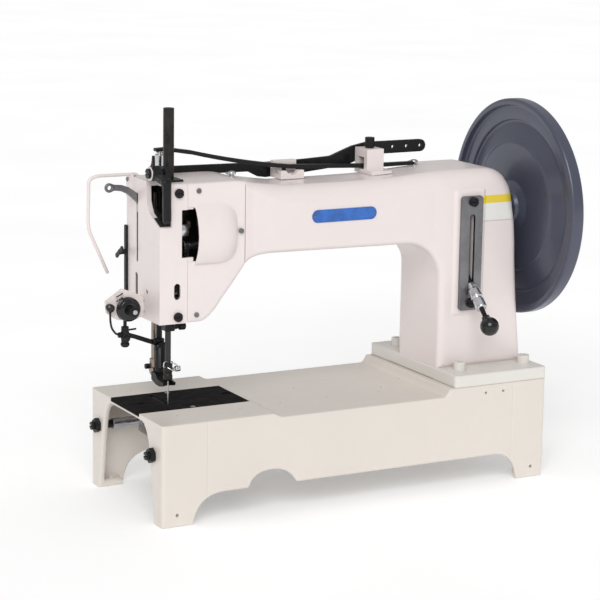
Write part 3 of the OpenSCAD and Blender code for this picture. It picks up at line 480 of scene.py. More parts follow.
def surface(name, field, low, high, size, fine):
    """Net of quads over the zero surface of a field sampled on a grid (surface nets)."""
    axes = [ticks(a, b, size, near) for a, b, near in zip(low, high, fine)]
    x, y, z = np.meshgrid(*axes, indexing="ij", sparse=True)
    f = np.ascontiguousarray(np.broadcast_to(field(x, y, z), tuple(len(a) for a in axes)))
    inside = f < 0
    corners = [(i, j, k) for i in (0, 1) for j in (0, 1) for k in (0, 1)]
    cells = tuple(n - 1 for n in f.shape)
    count = sum(inside[i:i + cells[0], j:j + cells[1], k:k + cells[2]].astype(np.int8)
                for i, j, k in corners)
    active = (count > 0) & (count < 8)
    index = np.full(cells, -1, np.int64)
    where = np.argwhere(active)
    index[active] = np.arange(len(where))
    total = np.zeros((len(where), 3))
    hits = np.zeros(len(where))
    for a in corners:
        for axis in range(3):
            if a[axis]:
                continue
            b = list(a)
            b[axis] = 1
            fa = f[tuple((where + a).T)]
            fb = f[tuple((where + b).T)]
            crossed = (fa < 0) != (fb < 0)
            t = np.where(crossed, fa / np.where(crossed, fa - fb, 1.0), 0.0)
            total += (np.array(a) + np.outer(t, np.eye(3)[axis])) * crossed[:, None]
            hits += crossed
    spots = where + total / hits[:, None]
    verts = np.stack([np.interp(spots[:, k], np.arange(len(axes[k])), axes[k]) for k in range(3)], 1)
    quads = []
    for axis in range(3):
        u, v = [(1, 2), (2, 0), (0, 1)][axis]
        first = [slice(1, -1)] * 3
        first[axis] = slice(0, -1)
        second = list(first)
        second[axis] = slice(1, None)
        s0, s1 = inside[tuple(first)], inside[tuple(second)]
        for rising in (True, False):
            hit = np.argwhere((s0 & ~s1) if rising else (~s0 & s1))
            ring = []
            for du, dv in ((0, 0), (1, 0), (1, 1), (0, 1)):
                cell = hit.copy()
                cell[:, u] += du
                cell[:, v] += dv
                ring.append(index[tuple(cell.T)])
            quads.append(np.stack(ring if rising else ring[::-1], 1))
    quads = np.concatenate(quads)
    mesh = bpy.data.meshes.new(name)
    mesh.vertices.add(len(verts))
    mesh.vertices.foreach_set("co", (verts * MM).ravel())
    mesh.loops.add(4 * len(quads))
    mesh.loops.foreach_set("vertex_index", quads.ravel().astype(np.int32))
    mesh.polygons.add(len(quads))
    mesh.polygons.foreach_set("loop_start", np.arange(0, 4 * len(quads), 4, dtype=np.int32))
    mesh.update(calc_edges=True)
    mesh.polygons.foreach_set("use_smooth", [True] * len(quads))
    return mesh


def forged(name, field, low, high, size, material, body="frame", nodes=(), flat=1.0, fine=((), (), ())):
    """A piece meshed from a field; the quads of its flat areas are merged, up to flat degrees."""
    mesh = surface(name, field, low, high, size, fine)
    bm = bmesh.new()
    bm.from_mesh(mesh)
    bmesh.ops.dissolve_limit(bm, angle_limit=radians(flat), verts=bm.verts, edges=bm.edges)
    bm.to_mesh(mesh)
    bm.free()
    return soften(place(name, mesh, material, body, nodes), 0)


def brick(name, low, high, r, room, size, material, body="frame"):
    """A plain box with round edges, sampled within a room a little larger than itself."""
    forged(name, lambda x, y, z: box_field(x, y, z, low, high, r), *room, size, material, body)


# ---- bed ----

def bed_outline():
    return ([(-BED_X, 0), (-BED_X + 55, 0)]
            + curve((-BED_X + 55, 0), (-BED_X + 60, SKIRT_Z - 3), (-BED_X + 107, SKIRT_Z))
            + curve((-207, SKIRT_Z), (-201, 74), (-165, 74))
            + curve((-165, 74), (-134, 74), (-121, SKIRT_Z))
            + curve((BED_X - 98, SKIRT_Z), (BED_X - 60, SKIRT_Z - 2), (BED_X - 54, 0))
            + [(BED_X - 4, 0), (BED_X, 60), (BED_X, PAD_Z), (167, PAD_Z)]
            + curve((167, PAD_Z), (162, DECK_Z), (156, DECK_Z), 5)
            + [(-144, DECK_Z)] + curve((-146, DECK_Z), (-156, DECK_Z + 2), (-162, PLATE_Z), 5)
            + [(-BED_X, PLATE_Z)])


def end_opening():
    return ([(-111, -5), (111, -5), (94, 102)] + curve((94, 102), (86, 152), (62, 156))
            + curve((-62, 156), (-86, 152), (-94, 102)))


FEET = [(sx * (BED_X - 26), sy * (BED_Y - 20)) for sx in (-1, 1) for sy in (-1, 1)]
SEAM_XS = (-281.0, 293.0)
HOOK_Z = 108.0


def bed_field(x, y, z):
    outline = outline_distance(bed_outline(), x, z)
    body = slab(outline, np.abs(y) - BED_Y, 2.6)
    body = np.maximum(body, slab(np.abs(x) - BED_X, np.abs(y) - BED_Y, 7.0))
    for seam in SEAM_XS:
        body = cut(body, np.maximum(np.abs(x - seam) - 0.6, BED_Y - 0.9 - np.abs(y)))
    body = cut(body, box_field(x, y, z, (-BED_X + WALL, -BED_Y + WALL, -50),
                               (BED_X - WALL, BED_Y - WALL, DECK_Z - WALL), 6.0), 4.0)
    arch = outline_distance(end_opening(), y, z)
    body = cut(body, np.maximum(arch, BED_X - WALL - 3 - np.abs(x)), 4.0)
    for fx, fy in FEET:
        body = join(body, box_field(x, y, z, (fx - 18, fy - 13, 0), (fx + 18, fy + 13, 12), 4.0), 3.0)
        body = cut(body, np.maximum(disc(x, y, (fx, fy), 5.5), z - 14))
    for lug in (-166.0, 150.0):
        web = np.maximum(between(y, SHAFT_Y - 16, SHAFT_Y + 16), between(z, HOOK_Z, 150))
        hang = np.maximum(np.minimum(disc(y, z, (SHAFT_Y, HOOK_Z), 16), web), between(x, lug, lug + 16))
        body = cut(join(body, hang, 4.0), rod(y, z, (SHAFT_Y, HOOK_Z), 11, x, lug - 2, lug + 18))
    body = cut(body, box_field(x, y, z, (-361, -53, PLATE_Z - 6), (-162, 64, 220)))
    body = cut(body, box_field(x, y, z, (-348, -47, 100), (-170, 58, 220)))
    body = cut(body, box_field(x, y, z, (215, -48, 100), (310, 48, 220), 8.0))
    return body


def shave(obj, low, high):
    """Cuts a box, given by two corners, out of a piece."""
    bm = bmesh.new()
    size = [(b - a) * MM for a, b in zip(low, high)]
    middle = Vector([(a + b) / 2 * MM for a, b in zip(low, high)])
    bmesh.ops.create_cube(bm, size=1.0, matrix=Matrix.Translation(middle) @ Matrix.Diagonal((*size, 1.0)))
    carve(obj, bm)


def drill(obj, holes):
    """Cuts round holes out of a piece: (centre, direction, radius, length) for each."""
    bm = bmesh.new()
    for centre, direction, radius, length in holes:
        turned = Vector((0, 0, 1)).rotation_difference(Vector(direction)).to_matrix().to_4x4()
        bmesh.ops.create_cone(bm, cap_ends=True, segments=20, radius1=radius * MM, radius2=radius * MM,
                              depth=length * MM, matrix=Matrix.Translation(Vector(centre) * MM) @ turned)
    carve(obj, bm)


def carve(obj, bm):
    """Cuts a solid out of a piece and keeps the result as its mesh."""
    cutter_mesh = bpy.data.meshes.new("drill")
    bm.to_mesh(cutter_mesh)
    bm.free()
    cutter = put("drill", cutter_mesh)
    boolean = obj.modifiers.new("holes", "BOOLEAN")
    boolean.operation = "DIFFERENCE"
    boolean.solver = "EXACT"
    boolean.object = cutter
    others = [m for m in obj.modifiers if m != boolean and m.show_viewport]
    for modifier in others:
        modifier.show_viewport = False
    bpy.context.view_layer.update()
    made = bpy.data.meshes.new_from_object(obj.evaluated_get(bpy.context.evaluated_depsgraph_get()))
    obj.modifiers.remove(boolean)
    for modifier in others:
        modifier.show_viewport = True
    old, obj.data = obj.data, made
    bpy.data.meshes.remove(old)
    bpy.data.objects.remove(cutter)
    bpy.data.meshes.remove(cutter_mesh)


DECK_HOLES = [(-145, -58), (-110, -59), (-43, 21), (-21, -57), (76, -60), (96, -34), (155, 5)]
PLATE_HOLES = [(-309, 97), (-309, -86), (-198, -87)]


def make_bed():
    near_x = [(-BED_X, 4, 1.0), (BED_X, 4, 1.0), (-162, 1.4, 0.7), (-360.5, 1, 0.5)]
    near_x += [(seam, 1.5, 0.5) for seam in SEAM_XS]
    near_y = [(-BED_Y, 3, 0.9), (BED_Y, 3, 0.9), (-53, 1, 0.5), (64, 1, 0.5)]
    near_z = [(PAD_Z - 1, 2, 0.7), (PLATE_Z - 1, 2, 0.7), (DECK_Z, 1.4, 0.7), (0, 1, 0.5)]
    bed = forged("bed", bed_field, (-366, -149, -6), (366, 149, 178), 3.0, "bed", "frame", ("bed_casting",),
                 0.7, (near_x, near_y, near_z))
    holes = [((x, y, DECK_Z), (0, 0, 1), 2.6, 16) for x, y in DECK_HOLES]
    holes += [((x, y, PLATE_Z), (0, 0, 1), 2.6, 16) for x, y in PLATE_HOLES]
    holes += [((x, -BED_Y, 158.6), (0, 1, 0), 2.4, 12) for x in (238, 273)]
    holes += [((sx * 334, -BED_Y, 19), (0, 1, 0), 3, 24) for sx in (-1, 1)]
    drill(bed, holes)


# ---- column, arm and head ----

def arm_outline():
    shoulder = 50
    return ([(COL_X0, FLANGE_Z - 3), (COL_X1, FLANGE_Z - 3), (COL_X1, 200)]
            + curve((COL_X1 - 1, 210), (335, 330), (333, 400))
            + arc(327 - shoulder, COL_Z1 - shoulder, shoulder, 0, 90)
            + curve((220, COL_Z1), (170, COL_Z1), (110, ARM_Z1 + 2))
            + curve((60, ARM_Z1), (0, ARM_Z1 - 1), (-100, ARM_Z1 - 1))
            + curve((-106, ARM_Z1), (-150, ARM_Z1 + 5), (-175, 530))
            + curve((-178, 531), (-190, HEAD_Z1), (-210, HEAD_Z1))
            + [(-300, HEAD_Z1), (-300, HEAD_Z0), (-266, HEAD_Z0)]
            + curve((-264, HEAD_Z0), (-250, 316), (-232, 340))
            + curve((-230, 343), (-205, 374), (-192, 392))
            + curve((-188, 397), (-176, ARM_Z0 + 2), (-140, ARM_Z0 + 3))
            + arc(COL_X0 - 65, ARM_Z0 - 65, 65, 90, 0))


ARM_FRONT = FRONT_Y + 1.5


def arm_field(x, y, z):
    outline = outline_distance(arm_outline(), x, z)
    front = FRONT_Y + 1.5 * (1 - step(x, 160, 196)) * step(x, -190, -170)
    back = ARM_Y1 + (COL_Y1 - ARM_Y1) * step(x, 172, 206)
    thick = np.maximum(front - y, y - back)
    # the top edges are crisp on the head and soft along the arm
    soft = 19 * step(x, -205, -110) * (1 - 0.25 * step(x, 150, 230))
    r = 8 + soft * step(z, 425, 505) + 5 * step(x, 170, 200)
    r = r - 4 * (1 - step(z, 330, 420)) * (1 - step(x, -200, -150))
    body = slab(outline, thick, r)
    body = np.maximum(body, np.where(y < -68, PANEL_X[0], SEAM_X) - x)
    body = cut(body, np.maximum(np.abs(x - PANEL_X[1] - 0.9) - 0.8, y - (FRONT_Y + 3.2)))
    body = cut(body, box_field(x, y, z, (-400, REBATE_Y, REBATE_Z), (-116, 200, 700), 0.5))
    pad = box_field(x, y, z, (206, FRONT_Y - 3, 284), (263, FRONT_Y + 20, 495), 2.5)
    body = join(body, pad, 3.0)
    body = join(body, rod(y, z, (SHAFT_Y, SHAFT_Z), 31, x, 300, 331), 6.0)
    rooms = [((-190, FRONT_Y + 12, ARM_Z0 + 12), (COL_X0 + 20, ARM_Y1 - 10, ARM_Z1 - 20), 4),
             ((-300, FRONT_Y + 9, ARM_Z0 - 8), (-202, ARM_Y1 - 9, HEAD_Z1 - 24), 3),
             ((-300, FRONT_Y + 9, HEAD_Z0 + 10), (-240, ARM_Y1 - 9, ARM_Z0), 3),
             ((-278, -200, 410), (-203, -50, 506), 0),  # behind the crank cover
             ((-300, -200, WINDOW_Z[0]), (-270, -50, WINDOW_Z[1]), 0),
             ((230, -120, 327), (242, -60, 456), 3)]  # slot of the stitch lever
    for low, high, corner in rooms:
        body = cut(body, box_field(x, y, z, low, high, corner))
    shaft_room = box_field(x, y, z, (COL_X0 + 12, FRONT_Y + 12, 180),
                           (COL_X1 - 34, COL_Y1 - 12, COL_Z1 - 20), 6)
    body = cut(body, np.maximum(shaft_room, y - (back - 11)))
    body = cut(body, rod(y, z, (SHAFT_Y, SHAFT_Z), 17, x, -210, 340))
    for cx, cy, cz in CAP_SEATS:
        body = cut(body, np.maximum(disc(x, y, (cx, cy), 8.5), cz - z))
    return body


def make_arm():
    near_x = [(SEAM_X, 0.8, 0.4), (PANEL_X[0], 0.8, 0.4), (PANEL_X[1] + 0.9, 1.6, 0.4),
              (-278, 0.6, 0.6), (-203, 0.6, 0.6)]
    near_y = [(FRONT_Y + 1, 4, 1.0), (REBATE_Y, 0.8, 0.4), (ARM_Y1, 3, 1.0)]
    near_z = [(HEAD_Z1 - 3, 5, 1.0), (418, 0.6, 0.6), (494, 0.6, 0.6), (HEAD_Z0, 3, 1.0)]
    forged("arm_and_column", arm_field, (-292, -86, 186), (358, 84, 540), 3.0, "arm", "frame",
           ("arm_casting",), 0.5, (near_x, near_y, near_z))


def flange_field(x, y, z):
    plate = box_field(x, y, z, (177, -BED_Y, PAD_Z), (BED_X, BED_Y, FLANGE_Z), 2.4)
    plate = np.maximum(plate, slab(between(x, 177, BED_X), np.abs(y) - BED_Y, 7.0))
    # thin undercut along the left side, where the flange sits on its pad
    plate = cut(plate, box_field(x, y, z, (170, -72, PAD_Z - 4), (179.5, 78, PAD_Z + 2.2)))
    return cut(plate, box_field(x, y, z, (215, -48, 100), (310, 48, 220), 8.0))


def make_flange():
    near_x = [(178, 2.4, 0.8), (BED_X - 1, 2.4, 0.8)]
    near_y = [(-BED_Y + 1, 2.4, 0.8), (BED_Y - 1, 2.4, 0.8), (-72, 0.6, 0.6), (78, 0.6, 0.6)]
    near_z = [(PAD_Z + 1, 2.4, 0.8), (FLANGE_Z - 1, 2.4, 0.8)]
    forged("column_flange", flange_field, (172, -148, 168), (366, 148, 198), 3.0, "flange", flat=0.7,
           fine=(near_x, near_y, near_z))


# ---- covers ----

BULGE_X = (-277.0, -204.0)
WINDOW_Z = (418.0, 494.0)


def crank_cover_field(x, y, z):
    """The front of the head's right part as one skin, with a barrel over the crank."""
    outline = outline_distance(arm_outline(), x, z) - 0.9
    plate = slab(outline, np.maximum(FRONT_Y - 0.9 - y, y - ARM_Y1), 8.0)
    plate = np.maximum(plate, slab(between(x, PANEL_X[0], PANEL_X[1]), y - FRONT_Y - 4, 0.8))
    # how far the end of the barrel has closed in, 0 at its mouth and 1 at its right end
    along = np.clip((x + 240) / 37, 0, 1)
    closing = 1 - np.sqrt(1 - along ** 2)
    radius = 79 - 17 * closing
    reach = np.hypot(y - SHAFT_Y, z - SHAFT_Z)
    height = between(z, 407 + 16 * closing, 505 - 14 * closing)
    drum = slab(np.maximum(reach - radius, height), between(x, BULGE_X[0] - 8, BULGE_X[1] + 2), 3.0)
    drum = np.maximum(np.maximum(drum, y - (FRONT_Y + 1)), BULGE_X[0] - x)
    shell = join(plate, drum, 2.5)
    hollow = np.maximum(reach - radius + 3.6, height + 4.5)
    shell = cut(shell, np.maximum(hollow, between(x, -290, BULGE_X[1] - 8)))
    mouth = box_field(x, y, z, (-300, -200, WINDOW_Z[0]), (BULGE_X[0], 0, WINDOW_Z[1]))
    shell = cut(shell, mouth)
    door = box_field(x, y, z, (BULGE_X[0] - 1, -79.5, 411), (BULGE_X[1], 0, 501))
    shell = cut(shell, door)
    return cut(shell, rod(x, z, COVER_SCREW, 2.6, y, -90, -70))


def make_covers():
    near_x = [(PANEL_X[0], 1.2, 0.4), (PANEL_X[1], 1.2, 0.4)]
    near_y = [(FRONT_Y - 0.5, 2.0, 0.5)]
    forged("crank_cover_piece", crank_cover_field, (-292, -103, 308), (-184, -72, 540), 1.3, "arm",
           "frame", ("crank_cover",), 0.8, (near_x, near_y, ()))
    head = refine("head_shell", "head", "frame", 1.4)
    shave(head, (PANEL_X[0] - 0.5, -90, 300), (SEAM_X + 1, -68, 540))
    brick("head_end_plate", (-339, 19, 500), (-336.5, 46, 538.5), 1.0,
          ((-341, 17, 498), (-335, 48, 541)), 0.8, "arm")
    button = [(0, 2.4), (2.6, 2.4), (3.4, 1.4), (3.4, 0), (0, 0)]
    turn("end_plate_screw", (-339, 39, 529), (-1, 0, 0), button, 0.5, 2, "grey", "frame", 24)


# ---- handwheel ----

def make_wheel():
    face = [(13, -11), (29, -11), (31, -5), (44, 3.2), (110, 3.8), (113, 5.8), (117, 6.4), (145, 15),
            (148.5, 14.6), (150.5, 9.8), (170.5, 9.8), (173.5, 8.8), (175.2, 0.8), (176.5, 0),
            (WHEEL_R - 3, 0), (WHEEL_R, 3)]
    back = [(WHEEL_R, WHEEL_W - 3), (WHEEL_R - 3, WHEEL_W), (175, WHEEL_W), (172, 23), (150, 21.5),
            (132, 21), (60, 17), (33, 24), (30, 26), (13, 26)]
    profile = rounded(face + back, 1.8, 4)
    lathe("handwheel_piece", (WHEEL_X, SHAFT_Y, SHAFT_Z), (1, 0, 0), profile + [profile[0]], "wheel",
          "shaft_unit", 200, ("handwheel",))


# ---- everything else, from the CAD shapes ----

PLAIN = {
    "frame": {
        "arm": {"spring_clamp": 2.2, "spring_guide": 2.2},
        "flange": {"flange_bolts": 1.6},
        "black": {"head_cover_screws": 1.2, "pivot_screws": 0.8,
                  "pivot_lock_nuts": 1.0, "lever_screw": 0.8, "lifter_bolt": 1.0,
                  "quadrant_screws": 1.0, "post_plate": 0.6},
        "post": {"tube_post": 0.6},
        "plates": {"needle_plate": 0.35},
        "steel": {"plate_screws": 0.3, "shuttle_race": 1.0, "left_bush": 0.8, "right_bush": 0.8,
                  "lower_bushes": 0.8, "take_up_pin": 0.6},
        "grey": {"quadrant_plate": 0.8, "panel_screws": 0.6},
    },
    "shaft_unit": {"steel": {"main_shaft": 0.8, "shaft_collar": 1.5, "wheel_screw": 1.5,
                             "crank_disc": 1.2, "feed_cam": 1.0}},
    "needle_unit": {"bar": {"needle_bar": 0.8}, "steel": {"needle": 0.1, "crank_link": 1.2}},
    "presser_unit": {"black": {"presser_bar": 0.8, "presser_foot": 0.8},
                     "chrome": {"presser_cap": 0.8}},
    "vibrating_unit": {"brown": {"vibrating_bar": 0.8, "vibrating_foot": 0.8}},
    "lever_unit": {"black": {"lifting_lever": 0.9}},
    "spring_unit": {"black": {"spring_bar": 0.9}},
    "spring_screw_unit": {"black": {"spring_screw": 0.6}},
    "left_slide_unit": {"plates": {"left_slide_plate": 0.35}},
    "feed_unit": {"black": {"feed_dog": 0.2}},
    "hook_unit": {"steel": {"shuttle_hook": 0.8, "shuttle_shaft": 0.8}},
    "bobbin_unit": {"steel": {"bobbin": 0.5}},
    "feed_rock_unit": {"steel": {"feed_rock_shaft": 1.0}},
    "lift_rock_unit": {"steel": {"lift_rock_shaft": 1.0}},
}


def make_plain():
    for body, groups in PLAIN.items():
        for material, nodes in groups.items():
            for node, width in nodes.items():
                refine(node, material, body, width)
    refine("right_slide_plate", "plates", "frame", 0.35)


def make_stitch_lever():
    axis = Vector((0, -1, -1)).normalized()
    pivot = (236, -26, 399)
    length = 175.4
    lathe("stitch_rod", pivot, axis, [(0, 20), (4, 20), (4, length - 16), (0, length - 16)], "black",
          "stitch_unit", 40, ("stitch_lever",))
    nut = [(4, 88), (6.4, 89), (8.6, 100), (10.5, 102.5), (10.5, 117), (8, 118.4), (8, 120.6),
           (10, 122), (10, 138), (8.6, 140), (4, 140)]
    turn("stitch_nut", pivot, axis, nut, 0.9, 3, "chrome", "stitch_unit", 48)
    ball = [(0, length + 16)] + [(16 * sin(radians(a)), length + 16 * cos(radians(a)))
                                 for a in range(6, 151, 6)]
    ball += rounded([ball[-1], (7.2, length - 16), (7.0, length - 19), (4, length - 19)], 0.8, 3)[1:]
    lathe("ball_knob_piece", pivot, axis, ball, "knob", "stitch_unit", 64, ("ball_knob",))


# ---- hand lifter, take-up lever and back strip ----

LIFTER_Y, LIFTER_Z = -44.0, 549.0


def hand_lifter_field(x, y, z):
    """Forged lever: a boss on the pivot, a shoulder reaching forward and a bar hanging down."""
    boss = slab(disc(y, z, (LIFTER_Y, LIFTER_Z), 12), between(x, -337, -321), 2.0)
    shoulder = slab(chain([(-48, 546, 6), (-84, 541, 6)], y, z), between(x, -336, -321.5), 3.0)
    bar = slab(chain([(-87, 539, 6), (-87.6, 522, 5), (-88, 481, 5)], y, z), between(x, -335, -322), 3.0)
    body = join(join(boss, shoulder, 5.0), bar, 4.0)
    blade = [(-52, 549), (-56, 566), (-55, 578), (-51, 578.5), (-48, 566), (-38, 552)]
    body = join(body, slab(outline_distance(blade, y, z), between(x, -337.5, -333.5), 0.8), 2.0)
    return cut(body, rod(y, z, (LIFTER_Y, LIFTER_Z), 6.2, x, -340, -318))


TAKE_UP = [(-272, 450, 9), (-300, 473, 6.5), (-337, 503, 6), (-345, 510, 5.8), (-354, 516.5, 5.4),
           (-364, 520.5, 5), (-376, 522, 4.8), (-385, 522, 7)]


def take_up_field(x, y, z):
    arm = slab(chain(TAKE_UP, x, z), between(y, 4.5, 8.5), 1.2)
    eye, pivot = TAKE_UP[-1][:2], TAKE_UP[0][:2]
    arm = join(arm, slab(disc(x, z, eye, 7.5), between(y, 4.2, 8.8), 1.4), 1.5)
    return cut(arm, np.minimum(disc(x, z, eye, 3.6), disc(x, z, pivot, 4.05)), 0.8)


def strip_field(x, y, z):
    """Black guide strip round the back edge of the head's left end."""
    side = box_field(x, y, z, (-341, 41, 346), (-337, 49.5, 454), 1.0)
    back = box_field(x, y, z, (-341, 47, 346), (-322, 49.5, 454), 1.0)
    return join(side, back, 1.0)


def wing_field(x, y, z):
    wing = slab(chain([(34, 418, 4.4), (44, 411, 3.2), (54, 404, 4.4)], y, z), between(x, -353, -349.6), 1.4)
    return join(wing, rod(y, z, (44, 411), 4.2, x, -352.5, -341), 2.0)


def make_levers():
    forged("hand_lifter_piece", hand_lifter_field, (-340, -97, 472), (-318, -28, 582), 1.0, "black",
           "lifter_unit", ("hand_lifter",))
    washer = [(6.3, 0), (11.4, 0), (11.4, 1.1), (6.3, 1.1), (6.3, 0)]
    turn("lifter_washer", (-337, LIFTER_Y, LIFTER_Z), (-1, 0, 0), washer, 0.3, 2, "arm", "lifter_unit", 40)
    forged("take_up_lever_piece", take_up_field, (-395, 3, 438), (-260, 10, 532), 0.7, "grey",
           "take_up_unit", ("take_up_lever",))
    forged("guide_strip", strip_field, (-343, 39, 343), (-320, 52, 457), 1.0, "black")
    forged("guide_strip_wing_screw", wing_field, (-355, 27, 396), (-339, 61, 425), 0.8, "black")


# ---- tension unit and release arm ----

TENSION_X, TENSION_Y, TENSION_Z = -366.0, -20.0, 331.0
POST_X, POST_Y = -363.5, -6.0


def release_field(x, y, z):
    """Post under the tension disc, with an arm that drops from it to the presser bar."""
    post_at, bar_at = (POST_X, POST_Y), (BAR_X, PRESSER_Y)
    post = rod(x, y, post_at, 6.2, z, 272.5, 299.5)
    pin = rod(x, y, post_at, 2.9, z, 296, 311.5)
    collar = slab(disc(x, y, post_at, 6.45), between(z, 278, 292), 1.2)
    dx, dy = BAR_X - POST_X, PRESSER_Y - POST_Y
    reach = hypot(dx, dy)
    along = ((x - POST_X) * dx + (y - POST_Y) * dy) / reach
    across = ((y - POST_Y) * dx - (x - POST_X) * dy) / reach
    links = [(-1, 287, 4), (20, 280, 3.6), (48, 269, 3.8), (66, 262.5, 4)]
    arm = slab(chain(links, along, z), abs(across) - 4.4, 1.2)
    clamp = slab(disc(x, y, bar_at, 8.6), between(z, 253.2, 269.8), 1.5)
    body = join(join(join(post, pin, 1.0), collar, 1.0), join(arm, clamp, 2.0), 2.0)
    return cut(body, disc(x, y, bar_at, 4.81))


def make_tension():
    plate = refine("tension_plate", "arm", "frame", 0.8)
    shave(plate, (-375, -60, 322), (-357, TENSION_Y - 14.4, 340))
    turn("tension_spindle_end", (TENSION_X, TENSION_Y - 14, TENSION_Z), (0, -1, 0),
         [(0, 20), (3.2, 20), (4, 19.2), (4, 0), (0, 0)], 0.4, 2, "steel", "frame", 32)
    wheel = [(4.05, 0), (17.6, 0), (19.4, 1.2), (19.4, 2.6), (17.9, 3.2), (17.9, 3.9), (19.4, 4.5),
             (19.4, 5.9), (17.9, 6.5), (17.9, 7.2), (19.3, 7.8), (18.9, 10), (16.5, 12.6), (11, 14),
             (4.05, 14), (4.05, 0)]
    turn("tension_wheel_piece", (TENSION_X, TENSION_Y - 0.4, TENSION_Z), (0, -1, 0), wheel, 0.5, 2,
         "knob", "tension_disc_unit", 96, ("tension_wheel",))
    refine("tension_nut", "black", "tension_nut_unit", 0.6)
    boss = [(0, 13), (3.2, 13), (5.2, 11.4), (6.6, 10.6), (6.8, 4), (5.6, 2.6), (5.6, 0), (0, 0)]
    turn("thread_guide_boss", (-398, TENSION_Y, 336), (0, -1, 0), boss, 0.7, 3, "knob", "frame", 40)
    tube("check_wire", [(-398, -27, 334), (-398, -27, 316), (-394, -23, 302), (-384, -17, 291),
                        (-377, -15, 289)], 1.7, "black", "frame", 14, 9)
    for i, z in enumerate((345, 352)):
        tube(f"thread_loop_{i + 1}", [(-385, -22, z), (-385, -27, z + 2), (-376, -27, z + 6),
                                      (-376, -22, z + 5)], 0.9, "black", "frame", 10, 3)
    forged("release_arm_piece", release_field, (-374, -18, 250), (-283, 27, 314), 1.0, "black",
           "presser_unit", ("release_arm",))
    spots = [((POST_X, POST_Y - 6, 281), (0, -1, 0)), ((POST_X - 6, POST_Y, 286), (-1, 0, 0)),
             ((BAR_X - 3, PRESSER_Y - 8, 261), (0, -1, 0)), ((-306, PRESSER_Y - 6.4, 268), (0, -1, 0))]
    for i, (at, axis) in enumerate(spots):
        turn(f"release_screw_{i + 1}", at, axis, [(0, 6), (3.6, 6), (4.6, 5), (4.6, 0), (0, 0)], 0.7, 3,
             "black", "presser_unit", 28)
    turn("release_knob", (POST_X, POST_Y, 272.6), (0, 0, -1), [(0, 7), (4.5, 7), (7.2, 4), (7.2, 0), (0, 0)],
         1.2, 3, "black", "presser_unit", 36)
    tube("release_pin", [(POST_X, POST_Y - 4, 294), (POST_X + 17, POST_Y - 5, 295)], 1.5, "black",
         "presser_unit", 12)


# ---- needle bar fittings ----

BAR_FOOT_Z, CLAMP_Z = 209.0, 348.0
NEEDLE_Y = SHAFT_Y


def guide_block_field(x, y, z):
    """Block under the lower bush round the needle bar, with an ear for its thumb screw."""
    block = box_field(x, y, z, (BAR_X - 8, NEEDLE_Y - 9, 289), (BAR_X + 9, NEEDLE_Y + 9, 301), 2.0)
    ear = slab(disc(y, z, (NEEDLE_Y, 295), 4.5), between(x, BAR_X, BAR_X + 17), 1.0)
    neck = rod(x, y, (BAR_X, NEEDLE_Y), 6.8, z, 299, 308.2)
    return cut(join(join(block, ear, 3.0), neck, 1.0), disc(x, y, (BAR_X, NEEDLE_Y), 4.9))


